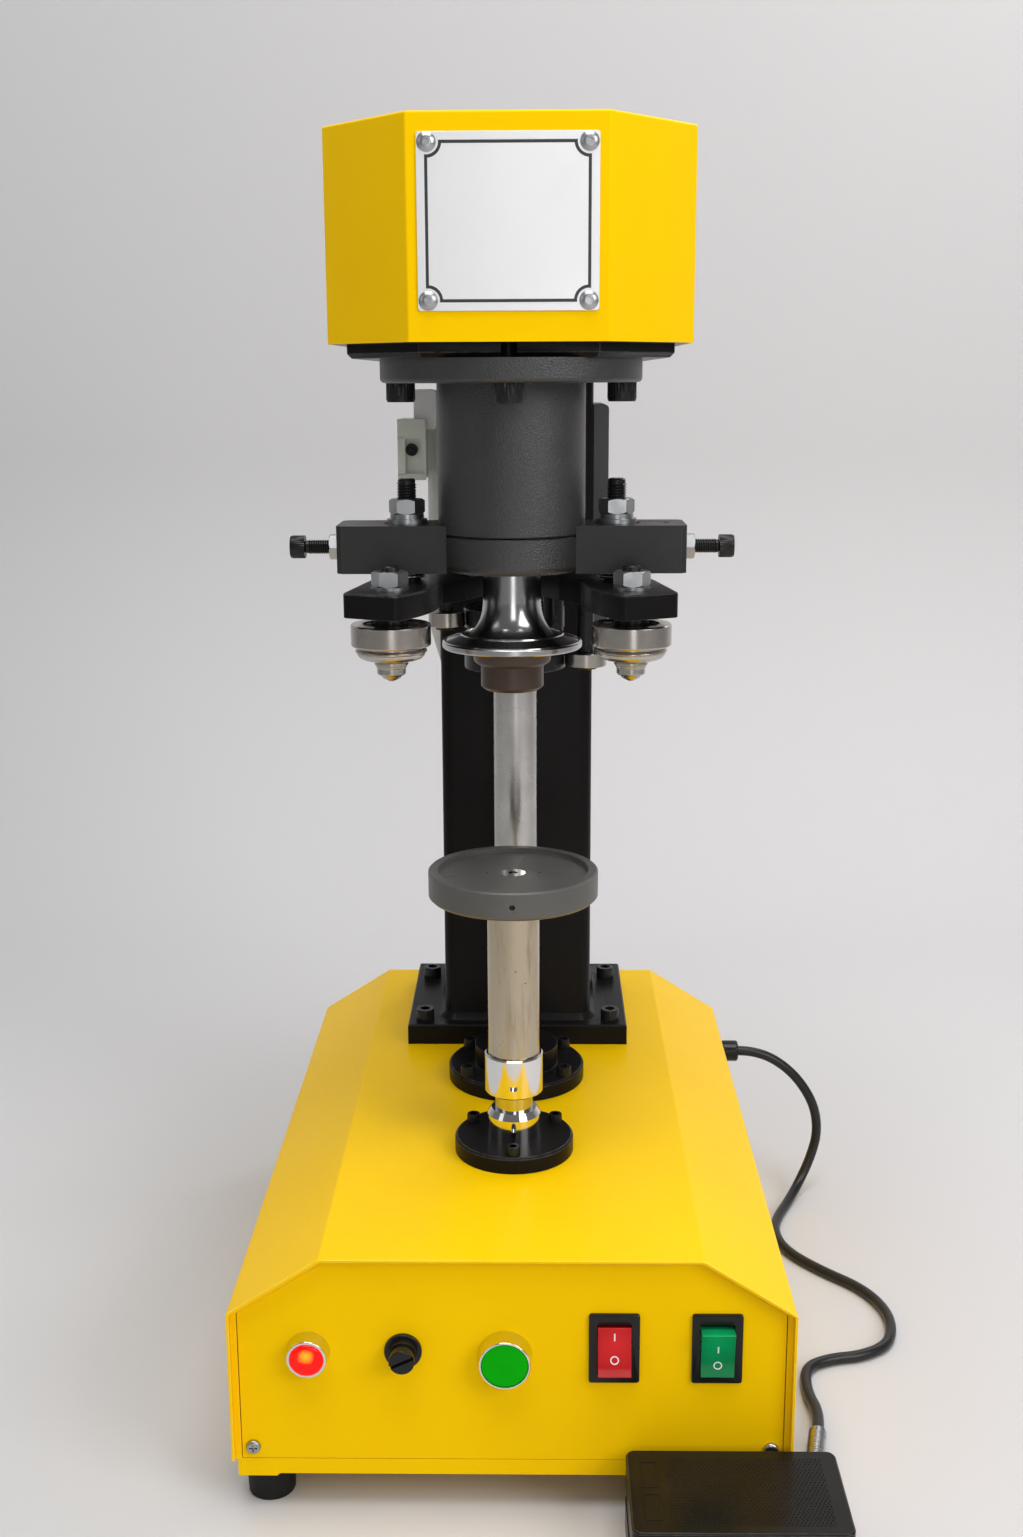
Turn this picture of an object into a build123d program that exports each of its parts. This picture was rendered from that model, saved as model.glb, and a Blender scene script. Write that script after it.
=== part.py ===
from build123d import *
import math
import os

# Can sealing machine for a bench: a folded sheet base holds the drive and the controls,
# a square column carries the head, and a can is lifted on a tray against a turning chuck
# while two levers swing their seaming rollers in, each pushed by a cam on the rear shaft.
# Millimetres. Origin on the floor under the seaming axis, +X right, +Y back, +Z up.

os.makedirs("parts", exist_ok=True)

# Fits
running = 0.05  # radial clearance of a shaft in its bore
free_gap = 0.3  # between pieces that move past each other
seat_gap = 0.05  # keeps stacked fasteners separate
on_bottom = (Align.CENTER, Align.CENTER, Align.MIN)
hang_down = (Align.CENTER, Align.CENTER, Align.MAX)

# Base housing
base_width = 300.0
base_depth = 435.0
base_front = -127.0
base_height = 121.0
knuckle_height = 89.5
top_width = 201.0
sheet = 2.0
bend_radius = 3.0
pan_lip = 9.0
foot_height = 20.5
foot_radius = 13.5
foot_inset = 17.0
foot_from_edge = 20.0
gusset = 1.5
gusset_edge = 21.0
gusset_width = 32.0
gusset_length = 38.0
base_back = base_front + base_depth
pan_z = foot_height + gusset
hood_z = pan_z + pan_lip
deck_z = hood_z + base_height
floor_z = pan_z + sheet

# Front and rear panels
panel_border = 4.5
panel_gap = 0.4
panel_recess = 0.8
panel_front = base_front + panel_recess
panel_back = panel_front + sheet
rear_panel_front = base_back - panel_recess - sheet

# Deck frame under the hood
deck_plate = 8.0
deck_half = 95.0
deck_web = 6.0
deck_foot = 9.0
deck_from = -60.0
deck_to = base_back - 13.0
deck_top = deck_z - sheet
deck_under = deck_top - deck_plate

# Stations along the depth
rear_shaft_y = 108.0
column_front = 171.7
column_size = 100.0
column_wall = 4.0
column_corner = 8.0
column_y = column_front + column_size / 2
column_plate_x = 150.0
column_plate_y = 125.0
column_plate_t = 14.0
weld_leg = 4.0
column_screw_x = 63.7
column_screw_ys = (170.3, 255.0)

# Tray and lift
flange_t = 10.0
front_flange_r = 35.0
front_screw_circle = 29.0
lift_rod_r = 11.0
ring_r = 15.6
ring_height = 17.0
collar_r = 17.0
collar_height = 24.0
post_r = 15.0
post_height = 94.9
collar_gap = 10.5
tray_r = 48.5
tray_t = 16.2
tray_recess_r = 43.0
tray_recess = 2.5
tray_pivot_r = 10.0
tray_pivot_length = 26.0
flange_top = deck_z + flange_t
collar_z = flange_top + ring_height + collar_gap
post_z = collar_z + collar_height
tray_z = post_z + post_height + free_gap
tray_top = tray_z + tray_t
rod_foot = floor_z + 36.0

# Rear shaft
rear_flange_r = 44.0
rear_screw_circle = 38.5
rear_boss_r = 27.0
rear_boss = 13.0
rear_shaft_r = 13.5

# Head plate, cover and nameplate
plate_t = 7.4
plate_step = 3.6
plate_inset = 9.5
cover_z = 615.4
cover_height = 107.3
cover_wall = 1.5
cover_front = -72.0
cover_front_half = 49.4
cover_half = 95.3
cover_shoulder = -20.3
cover_back = 285.0
plate_under = cover_z - plate_t
plate_top = cover_z + plate_step
nameplate_x = 88.4
nameplate_z = 83.0
nameplate_mid = 671.5
nameplate_t = 1.0
nameplate_screw_x = 39.2
nameplate_screw_z = 36.7

# Spindle
housing_r = 40.0
housing_flange_r = 70.0
housing_flange_t = 12.5
housing_screw_circle = 59.3
cap_height = 19.5
cap_z = 495.8
bearing_r = 26.0
bearing_t = 15.0
spindle_r = 12.5
nose_r = 9.0
housing_under = cap_z + cap_height + 0.5
housing_flange_z = plate_under - housing_flange_t
neck_r = 16.0
lip_r = 38.6
lip_z = 452.7
lip_t = 4.0
flare_r = 29.0
flare_top = 477.0
hub_r = 21.4
hub_step = 9.2
nose_hub_r = 17.4
nose_hub_z = 429.3
neck_top = cap_z + 5.0

# Cross bar with its clamp studs and end screws
bar_z = 495.5
bar_height = 25.5
bar_depth = 40.0
bar_half = 94.0
bar_chamfer = 3.0
pivot_x = 57.0
slot_length = 26.0
stud_r = 5.0
stud_top = 545.0
shoulder_r = 7.0
stud_head_r = 10.0
stud_head = 4.0
adjuster_r = 4.0

# Seaming levers, rollers and cams
lever_z = 477.0
lever_t = 13.0
roller_x = 63.5
roller_y = -42.0
roller_r = 21.2
roller_z = 456.0
roller_top = 472.0
roller_pin_r = 5.0
follower_y = 100.0
left_follower_x = 41.5
left_follower_r = 11.2
left_follower_z = 450.0
left_follower_t = 9.2
right_follower_x = 43.5
right_follower_r = 12.75
right_follower_z = 425.5
right_follower_t = 8.5
follower_boss_r = 5.0
follower_pin_r = 4.0
cam_t = 12.0
lever_swing = 4.0
cam_stroke = 120
cam_top = 10
cam_return = 50
cam_step = 5
stop_x = 23.1
stop_y = 50.0
stop_r = 6.0
stop_z = 452.5

# Drive pieces inside the base and the head
gearbox_size = 84.0
gearbox_height = 80.0
motor_r = 37.0
motor_clear = 27.2
lift_unit_r = 32.0
head_motor_r = 52.0
head_motor_height = 93.0

# Side plates of the column, and the limit switch
side_plate_t = 7.0
side_plate_top = 590.0
side_plate_taper = 438.0
side_plate_foot = 414.0
side_plate_depth = 80.0
right_plate_t = 10.0
right_plate_top = 581.0
switch_x = 18.0
switch_y = 30.0
switch_z = 38.5
switch_mid = 553.5

# Controls on the front panel
pilot_inset, fuse_inset = 42.2, 92.6  # from the base's left side
red_inset, green_inset = 95.7, 41.4  # from its right side
pilot_x, pilot_z = pilot_inset - base_width / 2, 95.6
fuse_x, fuse_z = fuse_inset - base_width / 2, 96.5
button_x, button_z = -3.4, 93.5
red_x, green_x, rocker_z = base_width / 2 - red_inset, base_width / 2 - green_inset, 98.8
bezel_x, bezel_z = 26.8, 40.0
rocker_x, rocker_height = 17.6, 27.4
rocker_tilt = 8.0
rocker_pin_r = 1.5
button_travel = 3.5

# Foot pedal
pedal_x = 116.0
pedal_width = 111.0
pedal_back = -132.5
pedal_depth = 67.0
pedal_top = 42.0
pedal_plate_t = 3.0
pedal_skirt = 16.0
pedal_pin_z = 33.0

# Cord from the base to the pedal
cord_r = 3.5
gland_y = 247.0
gland_z = 111.0
gland_length = 12.0
gland_thread = 6.0


def save(piece, name):
    piece.part.label = name
    export_step(piece.part, f"parts/{name}.step")


def hex_radius(across_flats):
    return across_flats / math.sqrt(3)


def socket_screw(thread, length):
    # Cap screw with its head above the origin
    with BuildPart() as screw:
        Cylinder(thread * 0.78, thread, align=on_bottom)
        chamfer(screw.edges().sort_by(Axis.Z)[-1], thread * 0.08)
        Cylinder(thread / 2, length, align=hang_down)
        with BuildSketch(Plane.XY.offset(thread)):
            RegularPolygon(hex_radius(thread * 0.8), 6)
        extrude(amount=-thread * 0.5, mode=Mode.SUBTRACT)
    return screw.part


def pan_screw(thread, length):
    with BuildPart() as screw:
        Cylinder(thread, thread * 0.6, align=on_bottom)
        fillet(screw.edges().sort_by(Axis.Z)[-1], thread * 0.4)
        Cylinder(thread / 2, length, align=hang_down)
        with BuildSketch(Plane.XY.offset(thread * 0.6)):
            Rectangle(thread * 1.1, thread * 0.22)
            Rectangle(thread * 0.22, thread * 1.1)
        extrude(amount=-thread * 0.35, mode=Mode.SUBTRACT)
    return screw.part


def hex_nut(across_flats, height, bore):
    with BuildPart() as nut:
        with BuildSketch():
            RegularPolygon(hex_radius(across_flats), 6)
            Circle(bore, mode=Mode.SUBTRACT)
        extrude(amount=height)
        with BuildSketch(Plane.XZ):
            with BuildLine():
                Polyline(
                    (0, 0),
                    (across_flats * 0.5, 0),
                    (across_flats * 0.6, height * 0.16),
                    (across_flats * 0.6, height * 0.84),
                    (across_flats * 0.5, height),
                    (0, height),
                    close=True,
                )
            make_face()
        revolve(axis=Axis.Z, mode=Mode.INTERSECT)
    return nut.part


def hood_section(inset):
    # Section of the folded hood, seen from the front
    with BuildSketch() as section:
        with BuildLine():
            Polyline(
                (-base_width / 2, hood_z),
                (-base_width / 2, hood_z + knuckle_height),
                (-top_width / 2, deck_z),
                (top_width / 2, deck_z),
                (base_width / 2, hood_z + knuckle_height),
                (base_width / 2, hood_z),
                close=True,
            )
        make_face()
        if inset > 0:
            offset(amount=-inset, kind=Kind.INTERSECTION)
        bends = section.vertices().filter_by(lambda v: v.Y > hood_z + base_height / 2)
        fillet(bends, max(bend_radius - inset, 0.6))
    return section.sketch


def open_section(inset):
    # The same section open at the bottom, where the pan closes it
    with BuildSketch() as section:
        add(hood_section(inset))
        with Locations((0, hood_z)):
            Rectangle(
                base_width - 2 * inset, 2 * inset, align=(Align.CENTER, Align.MIN)
            )
    return section.sketch


# Base pan, with a lip below the hood, side walls inside it and tabs for the panel screws
pan_half = base_width / 2 - sheet - 0.2
pan_wall = 19.0
tab_inset = 11.0
tab_x = base_width / 2 - tab_inset
tab_width = 14.0
tab_height = 24.0
foot_x = base_width / 2 - foot_inset
foot_ys = (base_front + foot_from_edge, base_back - foot_from_edge)
foot_spots = [(sx * foot_x, y) for sx in (-1, 1) for y in foot_ys]
foot_screw_r = 2.0
panel_screw_z = hood_z + 7.5
panel_screw_r = 2.0
panel_screw_spots = [(-tab_x, panel_screw_z), (tab_x, panel_screw_z)]
pan_length = base_depth - 2 * panel_recess
pan_y = (base_front + base_back) / 2
with BuildPart() as base_pan:
    with Locations((0, pan_y, pan_z)):
        Box(2 * pan_half, pan_length, pan_lip, align=on_bottom)
        Box(2 * pan_half, rear_panel_front - panel_back, pan_wall, align=on_bottom)
    with Locations((0, pan_y, floor_z)):
        Box(
            2 * (pan_half - sheet),
            rear_panel_front - panel_back - 2 * sheet,
            pan_wall,
            align=on_bottom,
            mode=Mode.SUBTRACT,
        )
    for side, y in ((-1, panel_back), (1, rear_panel_front - sheet)):
        with Locations((-tab_x, y, pan_z), (tab_x, y, pan_z)):
            Box(
                tab_width,
                sheet,
                tab_height,
                align=(Align.CENTER, Align.MIN, Align.MIN),
            )
    with BuildSketch(Plane.XY.offset(foot_height)):
        for sx in (-1, 1):
            for sy in (-1, 1):
                edge_y = pan_y + sy * pan_length / 2
                with BuildLine():
                    Polyline(
                        (sx * pan_half, edge_y),
                        (sx * (pan_half - gusset_edge), edge_y),
                        (sx * (pan_half - gusset_width), edge_y - sy * gusset_width / 2),
                        (sx * (pan_half - gusset_width), edge_y - sy * gusset_length),
                        (sx * pan_half, edge_y - sy * gusset_length),
                        close=True,
                    )
                make_face()
    extrude(amount=gusset)
    with Locations(*[(x, y, foot_height) for x, y in foot_spots]):
        Cylinder(foot_screw_r, sheet + gusset, align=on_bottom, mode=Mode.SUBTRACT)
    with Locations(*[Location((x, panel_back, z), (90, 0, 0)) for x, z in panel_screw_spots]):
        Cylinder(panel_screw_r, 4 * sheet, mode=Mode.SUBTRACT)
    with Locations(
        *[Location((x, rear_panel_front, z), (90, 0, 0)) for x, z in panel_screw_spots]
    ):
        Cylinder(panel_screw_r, 4 * sheet, mode=Mode.SUBTRACT)
save(base_pan, "base_pan")

# Tapered rubber feet, each with a sunk screw
foot_bore = 5.5
foot_bore_depth = 9.0
with BuildPart() as rubber_feet:
    with Locations(*[(x, y, 0) for x, y in foot_spots]):
        Cone(foot_radius - 0.7, foot_radius, foot_height, align=on_bottom)
        Cylinder(foot_bore, foot_bore_depth, align=on_bottom, mode=Mode.SUBTRACT)
        Cylinder(foot_screw_r, foot_height, align=on_bottom, mode=Mode.SUBTRACT)
    soles = rubber_feet.edges().filter_by(GeomType.CIRCLE).group_by(Axis.Z)[0]
    fillet(soles.filter_by(lambda e: e.radius > foot_bore + 1), 1.2)
save(rubber_feet, "rubber_feet")

# Openings in the hood and deck for the lift, the rear shaft and their screws
def on_circle(radius, angles, y=0.0):
    turns = [math.radians(a) for a in angles]
    return [(radius * math.cos(t), y + radius * math.sin(t)) for t in turns]


front_screws = on_circle(front_screw_circle, (-90, 32, 148))
rear_screws = on_circle(rear_screw_circle, (37, 143, 217, 323), rear_shaft_y)
column_screws = [(sx * column_screw_x, y) for sx in (-1, 1) for y in column_screw_ys]
front_screw = 5.0
rear_screw = 6.0
column_screw = 8.0
shaft_opening = 18.0


def cut_deck_holes(z, depth):
    with Locations((0, 0, z), (0, rear_shaft_y, z)):
        Cylinder(shaft_opening, depth, mode=Mode.SUBTRACT)
    with Locations(*[(x, y, z) for x, y in front_screws]):
        Cylinder(front_screw / 2, depth, mode=Mode.SUBTRACT)
    with Locations(*[(x, y, z) for x, y in rear_screws]):
        Cylinder(rear_screw / 2, depth, mode=Mode.SUBTRACT)
    with Locations(*[(x, y, z) for x, y in column_screws]):
        Cylinder(column_screw / 2, depth, mode=Mode.SUBTRACT)


# Hood, one folded sheet with a narrow return at its front and back edges
with BuildPart() as hood:
    with BuildSketch(Plane.XZ.offset(-base_front)):
        add(hood_section(0))
    extrude(amount=-base_depth)
    with BuildSketch(Plane.XZ.offset(-base_front - sheet)):
        add(open_section(sheet))
    extrude(amount=-(base_depth - 2 * sheet), mode=Mode.SUBTRACT)
    with BuildSketch(Plane.XZ.offset(-base_front)):
        add(open_section(panel_border))
    extrude(amount=-base_depth, mode=Mode.SUBTRACT)
    cut_deck_holes(deck_z, 3 * sheet)
    with Locations(Location((base_width / 2, gland_y, gland_z), (0, 90, 0))):
        Cylinder(gland_thread, 4 * sheet, mode=Mode.SUBTRACT)
save(hood, "hood")

# Deck frame, the steel channel that the column and both flanges are bolted to
with BuildPart() as deck_frame:
    with BuildSketch(Plane.XZ.offset(-deck_from)):
        with Locations((0, floor_z)):
            Rectangle(
                2 * deck_half, deck_top - floor_z, align=(Align.CENTER, Align.MIN)
            )
            Rectangle(
                2 * (deck_half - deck_web),
                deck_under - floor_z,
                align=(Align.CENTER, Align.MIN),
                mode=Mode.SUBTRACT,
            )
            Rectangle(
                2 * (deck_half + deck_foot), deck_web, align=(Align.CENTER, Align.MIN)
            )
            Rectangle(
                2 * (deck_half - deck_web),
                deck_web,
                align=(Align.CENTER, Align.MIN),
                mode=Mode.SUBTRACT,
            )
    extrude(amount=-(deck_to - deck_from))
    cut_deck_holes(deck_top, 3 * deck_plate)
save(deck_frame, "deck_frame")

# Front panel with its openings for the controls
pilot_hole = 8.0
fuse_hole = 6.5
button_hole = 11.0
body_x, body_z = 21.5, 34.0
with BuildPart() as front_panel:
    with BuildSketch(Plane.XZ.offset(-panel_front)):
        add(open_section(panel_border + panel_gap))
        with Locations((0, hood_z)):
            Rectangle(base_width, 2 * panel_gap, mode=Mode.SUBTRACT)
        with Locations((pilot_x, pilot_z)):
            Circle(pilot_hole, mode=Mode.SUBTRACT)
        with Locations((fuse_x, fuse_z)):
            Circle(fuse_hole, mode=Mode.SUBTRACT)
        with Locations((button_x, button_z)):
            Circle(button_hole, mode=Mode.SUBTRACT)
        with Locations((red_x, rocker_z), (green_x, rocker_z)):
            Rectangle(body_x, body_z, mode=Mode.SUBTRACT)
        with Locations(*panel_screw_spots):
            Circle(panel_screw_r, mode=Mode.SUBTRACT)
    extrude(amount=-sheet)
save(front_panel, "front_panel")

# Rear panel with cooling slots and the mains lead's gland
mains_x, mains_z = -105.0, 62.0
slot_x, slot_z = 34.0, 4.0
slot_gap_x, slot_gap_z = 12.0, 6.0
with BuildPart() as rear_panel:
    with BuildSketch(Plane.XZ.offset(-rear_panel_front)):
        add(open_section(panel_border + panel_gap))
        with Locations((0, hood_z)):
            Rectangle(base_width, 2 * panel_gap, mode=Mode.SUBTRACT)
        with GridLocations(slot_x + slot_gap_x, slot_z + slot_gap_z, 2, 5):
            with Locations((0, hood_z + base_height / 2)):
                SlotOverall(slot_x, slot_z, mode=Mode.SUBTRACT)
        with Locations((mains_x, mains_z)):
            Circle(gland_thread, mode=Mode.SUBTRACT)
        with Locations(*panel_screw_spots):
            Circle(panel_screw_r, mode=Mode.SUBTRACT)
    extrude(amount=-sheet)
save(rear_panel, "rear_panel")

# Front flange guides the lift rod, and a bevelled ring wipes it
with BuildPart() as front_flange:
    with Locations((0, 0, deck_z)):
        Cylinder(front_flange_r, flange_t, align=on_bottom)
    chamfer(front_flange.edges().sort_by(Axis.Z)[-1], 1.2)
    with Locations((0, 0, deck_z)):
        Cylinder(shaft_opening, deck_z - deck_under, align=hang_down)
        Cylinder(lift_rod_r + running, 4 * flange_t, mode=Mode.SUBTRACT)
    with Locations(*[(x, y, deck_z) for x, y in front_screws]):
        Cylinder(front_screw / 2, flange_t, align=on_bottom, mode=Mode.SUBTRACT)
save(front_flange, "front_flange")

with BuildPart() as wiper_ring:
    with Locations((0, 0, flange_top)):
        Cylinder(ring_r, ring_height, align=on_bottom)
    chamfer(wiper_ring.edges().sort_by(Axis.Z)[-1], 3.6, 2.4)
    with Locations((0, 0, flange_top)):
        Cylinder(lift_rod_r + running, ring_height, align=on_bottom, mode=Mode.SUBTRACT)
    with Locations(Location((0, -ring_r, flange_top + ring_height / 2), (90, 0, 0))):
        Cylinder(1.6, 5, mode=Mode.SUBTRACT)
save(wiper_ring, "wiper_ring")

# Rear flange with the raised bearing boss of the cam shaft
with BuildPart() as rear_flange:
    with Locations((0, rear_shaft_y, deck_z)):
        Cylinder(rear_flange_r, flange_t, align=on_bottom)
    chamfer(rear_flange.edges().sort_by(Axis.Z)[-1], 1.2)
    with Locations((0, rear_shaft_y, deck_z)):
        Cylinder(rear_boss_r, flange_t + rear_boss, align=on_bottom)
        Cylinder(shaft_opening, deck_z - deck_under, align=hang_down)
        Cylinder(rear_shaft_r + running, 6 * flange_t, mode=Mode.SUBTRACT)
    with Locations(*[(x, y, deck_z) for x, y in rear_screws]):
        Cylinder(rear_screw / 2, flange_t, align=on_bottom, mode=Mode.SUBTRACT)
save(rear_flange, "rear_flange")

with BuildPart() as flange_screws:
    with Locations(*[(x, y, flange_top) for x, y in front_screws]):
        add(socket_screw(front_screw, flange_top - deck_under))
    with Locations(*[(x, y, flange_top) for x, y in rear_screws]):
        add(socket_screw(rear_screw, flange_top - deck_under))
save(flange_screws, "flange_screws")

# Column, a square tube welded to its base plate
column_top = plate_under
plate_z = deck_z + column_plate_t
with BuildPart() as column:
    with Locations((0, column_y, deck_z)):
        Box(column_plate_x, column_plate_y, column_plate_t, align=on_bottom)
    chamfer(column.edges().group_by(Axis.Z)[-1], 1.0)
    with BuildSketch(Plane.XY.offset(deck_z)):
        with Locations((0, column_y)):
            RectangleRounded(column_size, column_size, column_corner)
    extrude(amount=column_top - deck_z)
    foot_edges = column.edges().filter_by(
        lambda e: abs(e.center().Z - plate_z) < 0.01
        and abs(e.center().X) < column_size / 2 + 0.5
        and abs(e.center().Y - column_y) < column_size / 2 + 0.5
    )
    chamfer(foot_edges, weld_leg)
    with BuildSketch(Plane.XY.offset(deck_z)):
        with Locations((0, column_y)):
            RectangleRounded(
                column_size - 2 * column_wall,
                column_size - 2 * column_wall,
                column_corner - column_wall,
            )
    extrude(amount=column_top - deck_z, mode=Mode.SUBTRACT)
    with Locations(*[(x, y, deck_z) for x, y in column_screws]):
        Cylinder(column_screw / 2, column_plate_t, align=on_bottom, mode=Mode.SUBTRACT)
save(column, "column")


def cover_outline(inset):
    # Plan of the head: a narrow front face, two slanted cheeks and straight sides
    with BuildSketch() as plan:
        with BuildLine():
            Polyline(
                (-cover_front_half, cover_front),
                (cover_front_half, cover_front),
                (cover_half, cover_shoulder),
                (cover_half, cover_back),
                (-cover_half, cover_back),
                (-cover_half, cover_shoulder),
                close=True,
            )
        make_face()
        if inset > 0:
            offset(amount=-inset, kind=Kind.INTERSECTION)
    return plan.sketch


# Head plate, stepped so that the cover's wall stands around its upper edge
housing_screw = 10.0
housing_screw_spots = on_circle(housing_screw_circle, (0, 90, 180, 270))
with BuildPart() as head_plate:
    with BuildSketch(Plane.XY.offset(plate_under)):
        add(cover_outline(plate_inset))
    extrude(amount=plate_t)
    chamfer(head_plate.edges().group_by(Axis.Z)[0], 2.5)
    with BuildSketch(Plane.XY.offset(cover_z)):
        add(cover_outline(cover_wall + 0.2))
    extrude(amount=plate_step)
    with Locations((0, 0, cover_z)):
        Cylinder(spindle_r + 5, 4 * plate_t, mode=Mode.SUBTRACT)
    with Locations((0, rear_shaft_y, cover_z)):
        Cylinder(rear_shaft_r + running, 4 * plate_t, mode=Mode.SUBTRACT)
    with Locations(*[(x, y, plate_under) for x, y in housing_screw_spots]):
        Cylinder(housing_screw / 2, plate_t, align=on_bottom, mode=Mode.SUBTRACT)
save(head_plate, "head_plate")

nameplate_screw_r = 1.5
nameplate_spots = [
    (sx * nameplate_screw_x, nameplate_mid + sz * nameplate_screw_z)
    for sx in (-1, 1)
    for sz in (-1, 1)
]
with BuildPart() as head_cover:
    with BuildSketch(Plane.XY.offset(cover_z)):
        add(cover_outline(0))
    extrude(amount=cover_height)
    fillet(head_cover.edges().filter_by(Axis.Z), 2.0)
    fillet(head_cover.edges().group_by(Axis.Z)[-1], 1.6)
    with BuildSketch(Plane.XY.offset(cover_z)):
        add(cover_outline(cover_wall))
    extrude(amount=cover_height - cover_wall, mode=Mode.SUBTRACT)
    with Locations(*[Location((x, cover_front, z), (90, 0, 0)) for x, z in nameplate_spots]):
        Cylinder(nameplate_screw_r, 4 * cover_wall, mode=Mode.SUBTRACT)
save(head_cover, "head_cover")

with BuildPart() as nameplate:
    with BuildSketch(Plane.XZ.offset(-cover_front)):
        with Locations((0, nameplate_mid)):
            RectangleRounded(nameplate_x, nameplate_z, 1.5)
            with GridLocations(2 * nameplate_screw_x, 2 * nameplate_screw_z, 2, 2):
                Circle(nameplate_screw_r, mode=Mode.SUBTRACT)
    extrude(amount=nameplate_t)
save(nameplate, "nameplate")

# Small pan head screws of the nameplate, the panels and the feet
with BuildPart() as small_screws:
    plate_face = cover_front - nameplate_t
    with Locations(*[Location((x, plate_face, z), (90, 0, 0)) for x, z in nameplate_spots]):
        add(pan_screw(2 * nameplate_screw_r, 5.0))
    with Locations(*[Location((x, panel_front, z), (90, 0, 0)) for x, z in panel_screw_spots]):
        add(pan_screw(4.0, 2.0 * sheet))
    with Locations(
        *[Location((x, rear_panel_front + sheet, z), (-90, 0, 0)) for x, z in panel_screw_spots]
    ):
        add(pan_screw(4.0, 2.0 * sheet))
    with Locations(*[Location((x, y, foot_bore_depth), (180, 0, 0)) for x, y in foot_spots]):
        add(pan_screw(2 * foot_screw_r, pan_z + sheet - foot_bore_depth))
save(small_screws, "small_screws")

# Spindle housing with its round flange, and the clamp ring below it
bore_from = housing_under + 4.0
with BuildPart() as spindle_housing:
    with Locations((0, 0, housing_under)):
        Cylinder(housing_r, housing_flange_z - housing_under, align=on_bottom)
    chamfer(spindle_housing.edges().sort_by(Axis.Z)[0], 0.8)
    with Locations((0, 0, housing_flange_z)):
        Cylinder(housing_flange_r, housing_flange_t, align=on_bottom)
    flange_rim = spindle_housing.edges().filter_by(
        lambda e: e.geom_type == GeomType.CIRCLE and e.radius > housing_r + 5
    )
    fillet(flange_rim.sort_by(Axis.Z)[0], 2.5)
    with Locations((0, 0, bore_from)):
        Cylinder(bearing_r, plate_under - bore_from, align=on_bottom, mode=Mode.SUBTRACT)
    with Locations((0, 0, housing_under)):
        Cylinder(neck_r + 0.5, 6, align=on_bottom, mode=Mode.SUBTRACT)
    with Locations(*[(x, y, housing_flange_z) for x, y in housing_screw_spots]):
        Cylinder(
            housing_screw / 2, housing_flange_t, align=on_bottom, mode=Mode.SUBTRACT
        )
save(spindle_housing, "spindle_housing")

with BuildPart() as housing_cap:
    with Locations((0, 0, cap_z)):
        Cylinder(housing_r, cap_height, align=on_bottom)
    chamfer(housing_cap.edges().sort_by(Axis.Z)[-1], 0.8)
    fillet(housing_cap.edges().sort_by(Axis.Z)[0], 4.0)
    with Locations((0, 0, cap_z)):
        Cylinder(neck_r + 0.5, cap_height, align=on_bottom, mode=Mode.SUBTRACT)
    with Locations((0, 0, cap_z + cap_height)):
        Cylinder(bearing_r, 0.5, align=on_bottom)
        Cylinder(neck_r + 0.5, 0.5, align=on_bottom, mode=Mode.SUBTRACT)
save(housing_cap, "housing_cap")

with BuildPart() as frame_screws:
    with Locations(*[(x, y, plate_z) for x, y in column_screws]):
        add(socket_screw(column_screw, plate_z - deck_under))
    with Locations(*[Location((x, y, housing_flange_z), (180, 0, 0)) for x, y in housing_screw_spots]):
        add(socket_screw(housing_screw, housing_flange_t + plate_t))
save(frame_screws, "frame_screws")

# Two deep groove bearings in the housing
lower_bearing_z = bore_from
upper_bearing_z = plate_under - bearing_t - 4.0
with BuildPart() as spindle_bearings:
    with BuildSketch(Plane.XZ):
        for z in (lower_bearing_z, upper_bearing_z):
            with BuildLine():
                Polyline(
                    (spindle_r + running, z),
                    (spindle_r + 3, z),
                    (spindle_r + 4, z + 1.2),
                    (bearing_r - 4, z + 1.2),
                    (bearing_r - 3, z),
                    (bearing_r, z),
                    (bearing_r, z + bearing_t),
                    (bearing_r - 3, z + bearing_t),
                    (bearing_r - 4, z + bearing_t - 1.2),
                    (spindle_r + 4, z + bearing_t - 1.2),
                    (spindle_r + 3, z + bearing_t),
                    (spindle_r + running, z + bearing_t),
                    close=True,
                )
            make_face()
    revolve(axis=Axis.Z)
save(spindle_bearings, "spindle_bearings")

# Spindle, with a threaded nose that the chuck screws on to
spindle_top = plate_top + 26.0
nose_z = lip_z + 12.0
with BuildPart() as spindle_shaft:
    with Locations((0, 0, neck_top)):
        Cylinder(spindle_r, spindle_top - neck_top, align=on_bottom)
    with Locations((0, 0, nose_z)):
        Cylinder(nose_r, neck_top - nose_z, align=on_bottom)
    chamfer(spindle_shaft.edges().sort_by(Axis.Z)[-1], 1.0)
save(spindle_shaft, "spindle_shaft")

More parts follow.
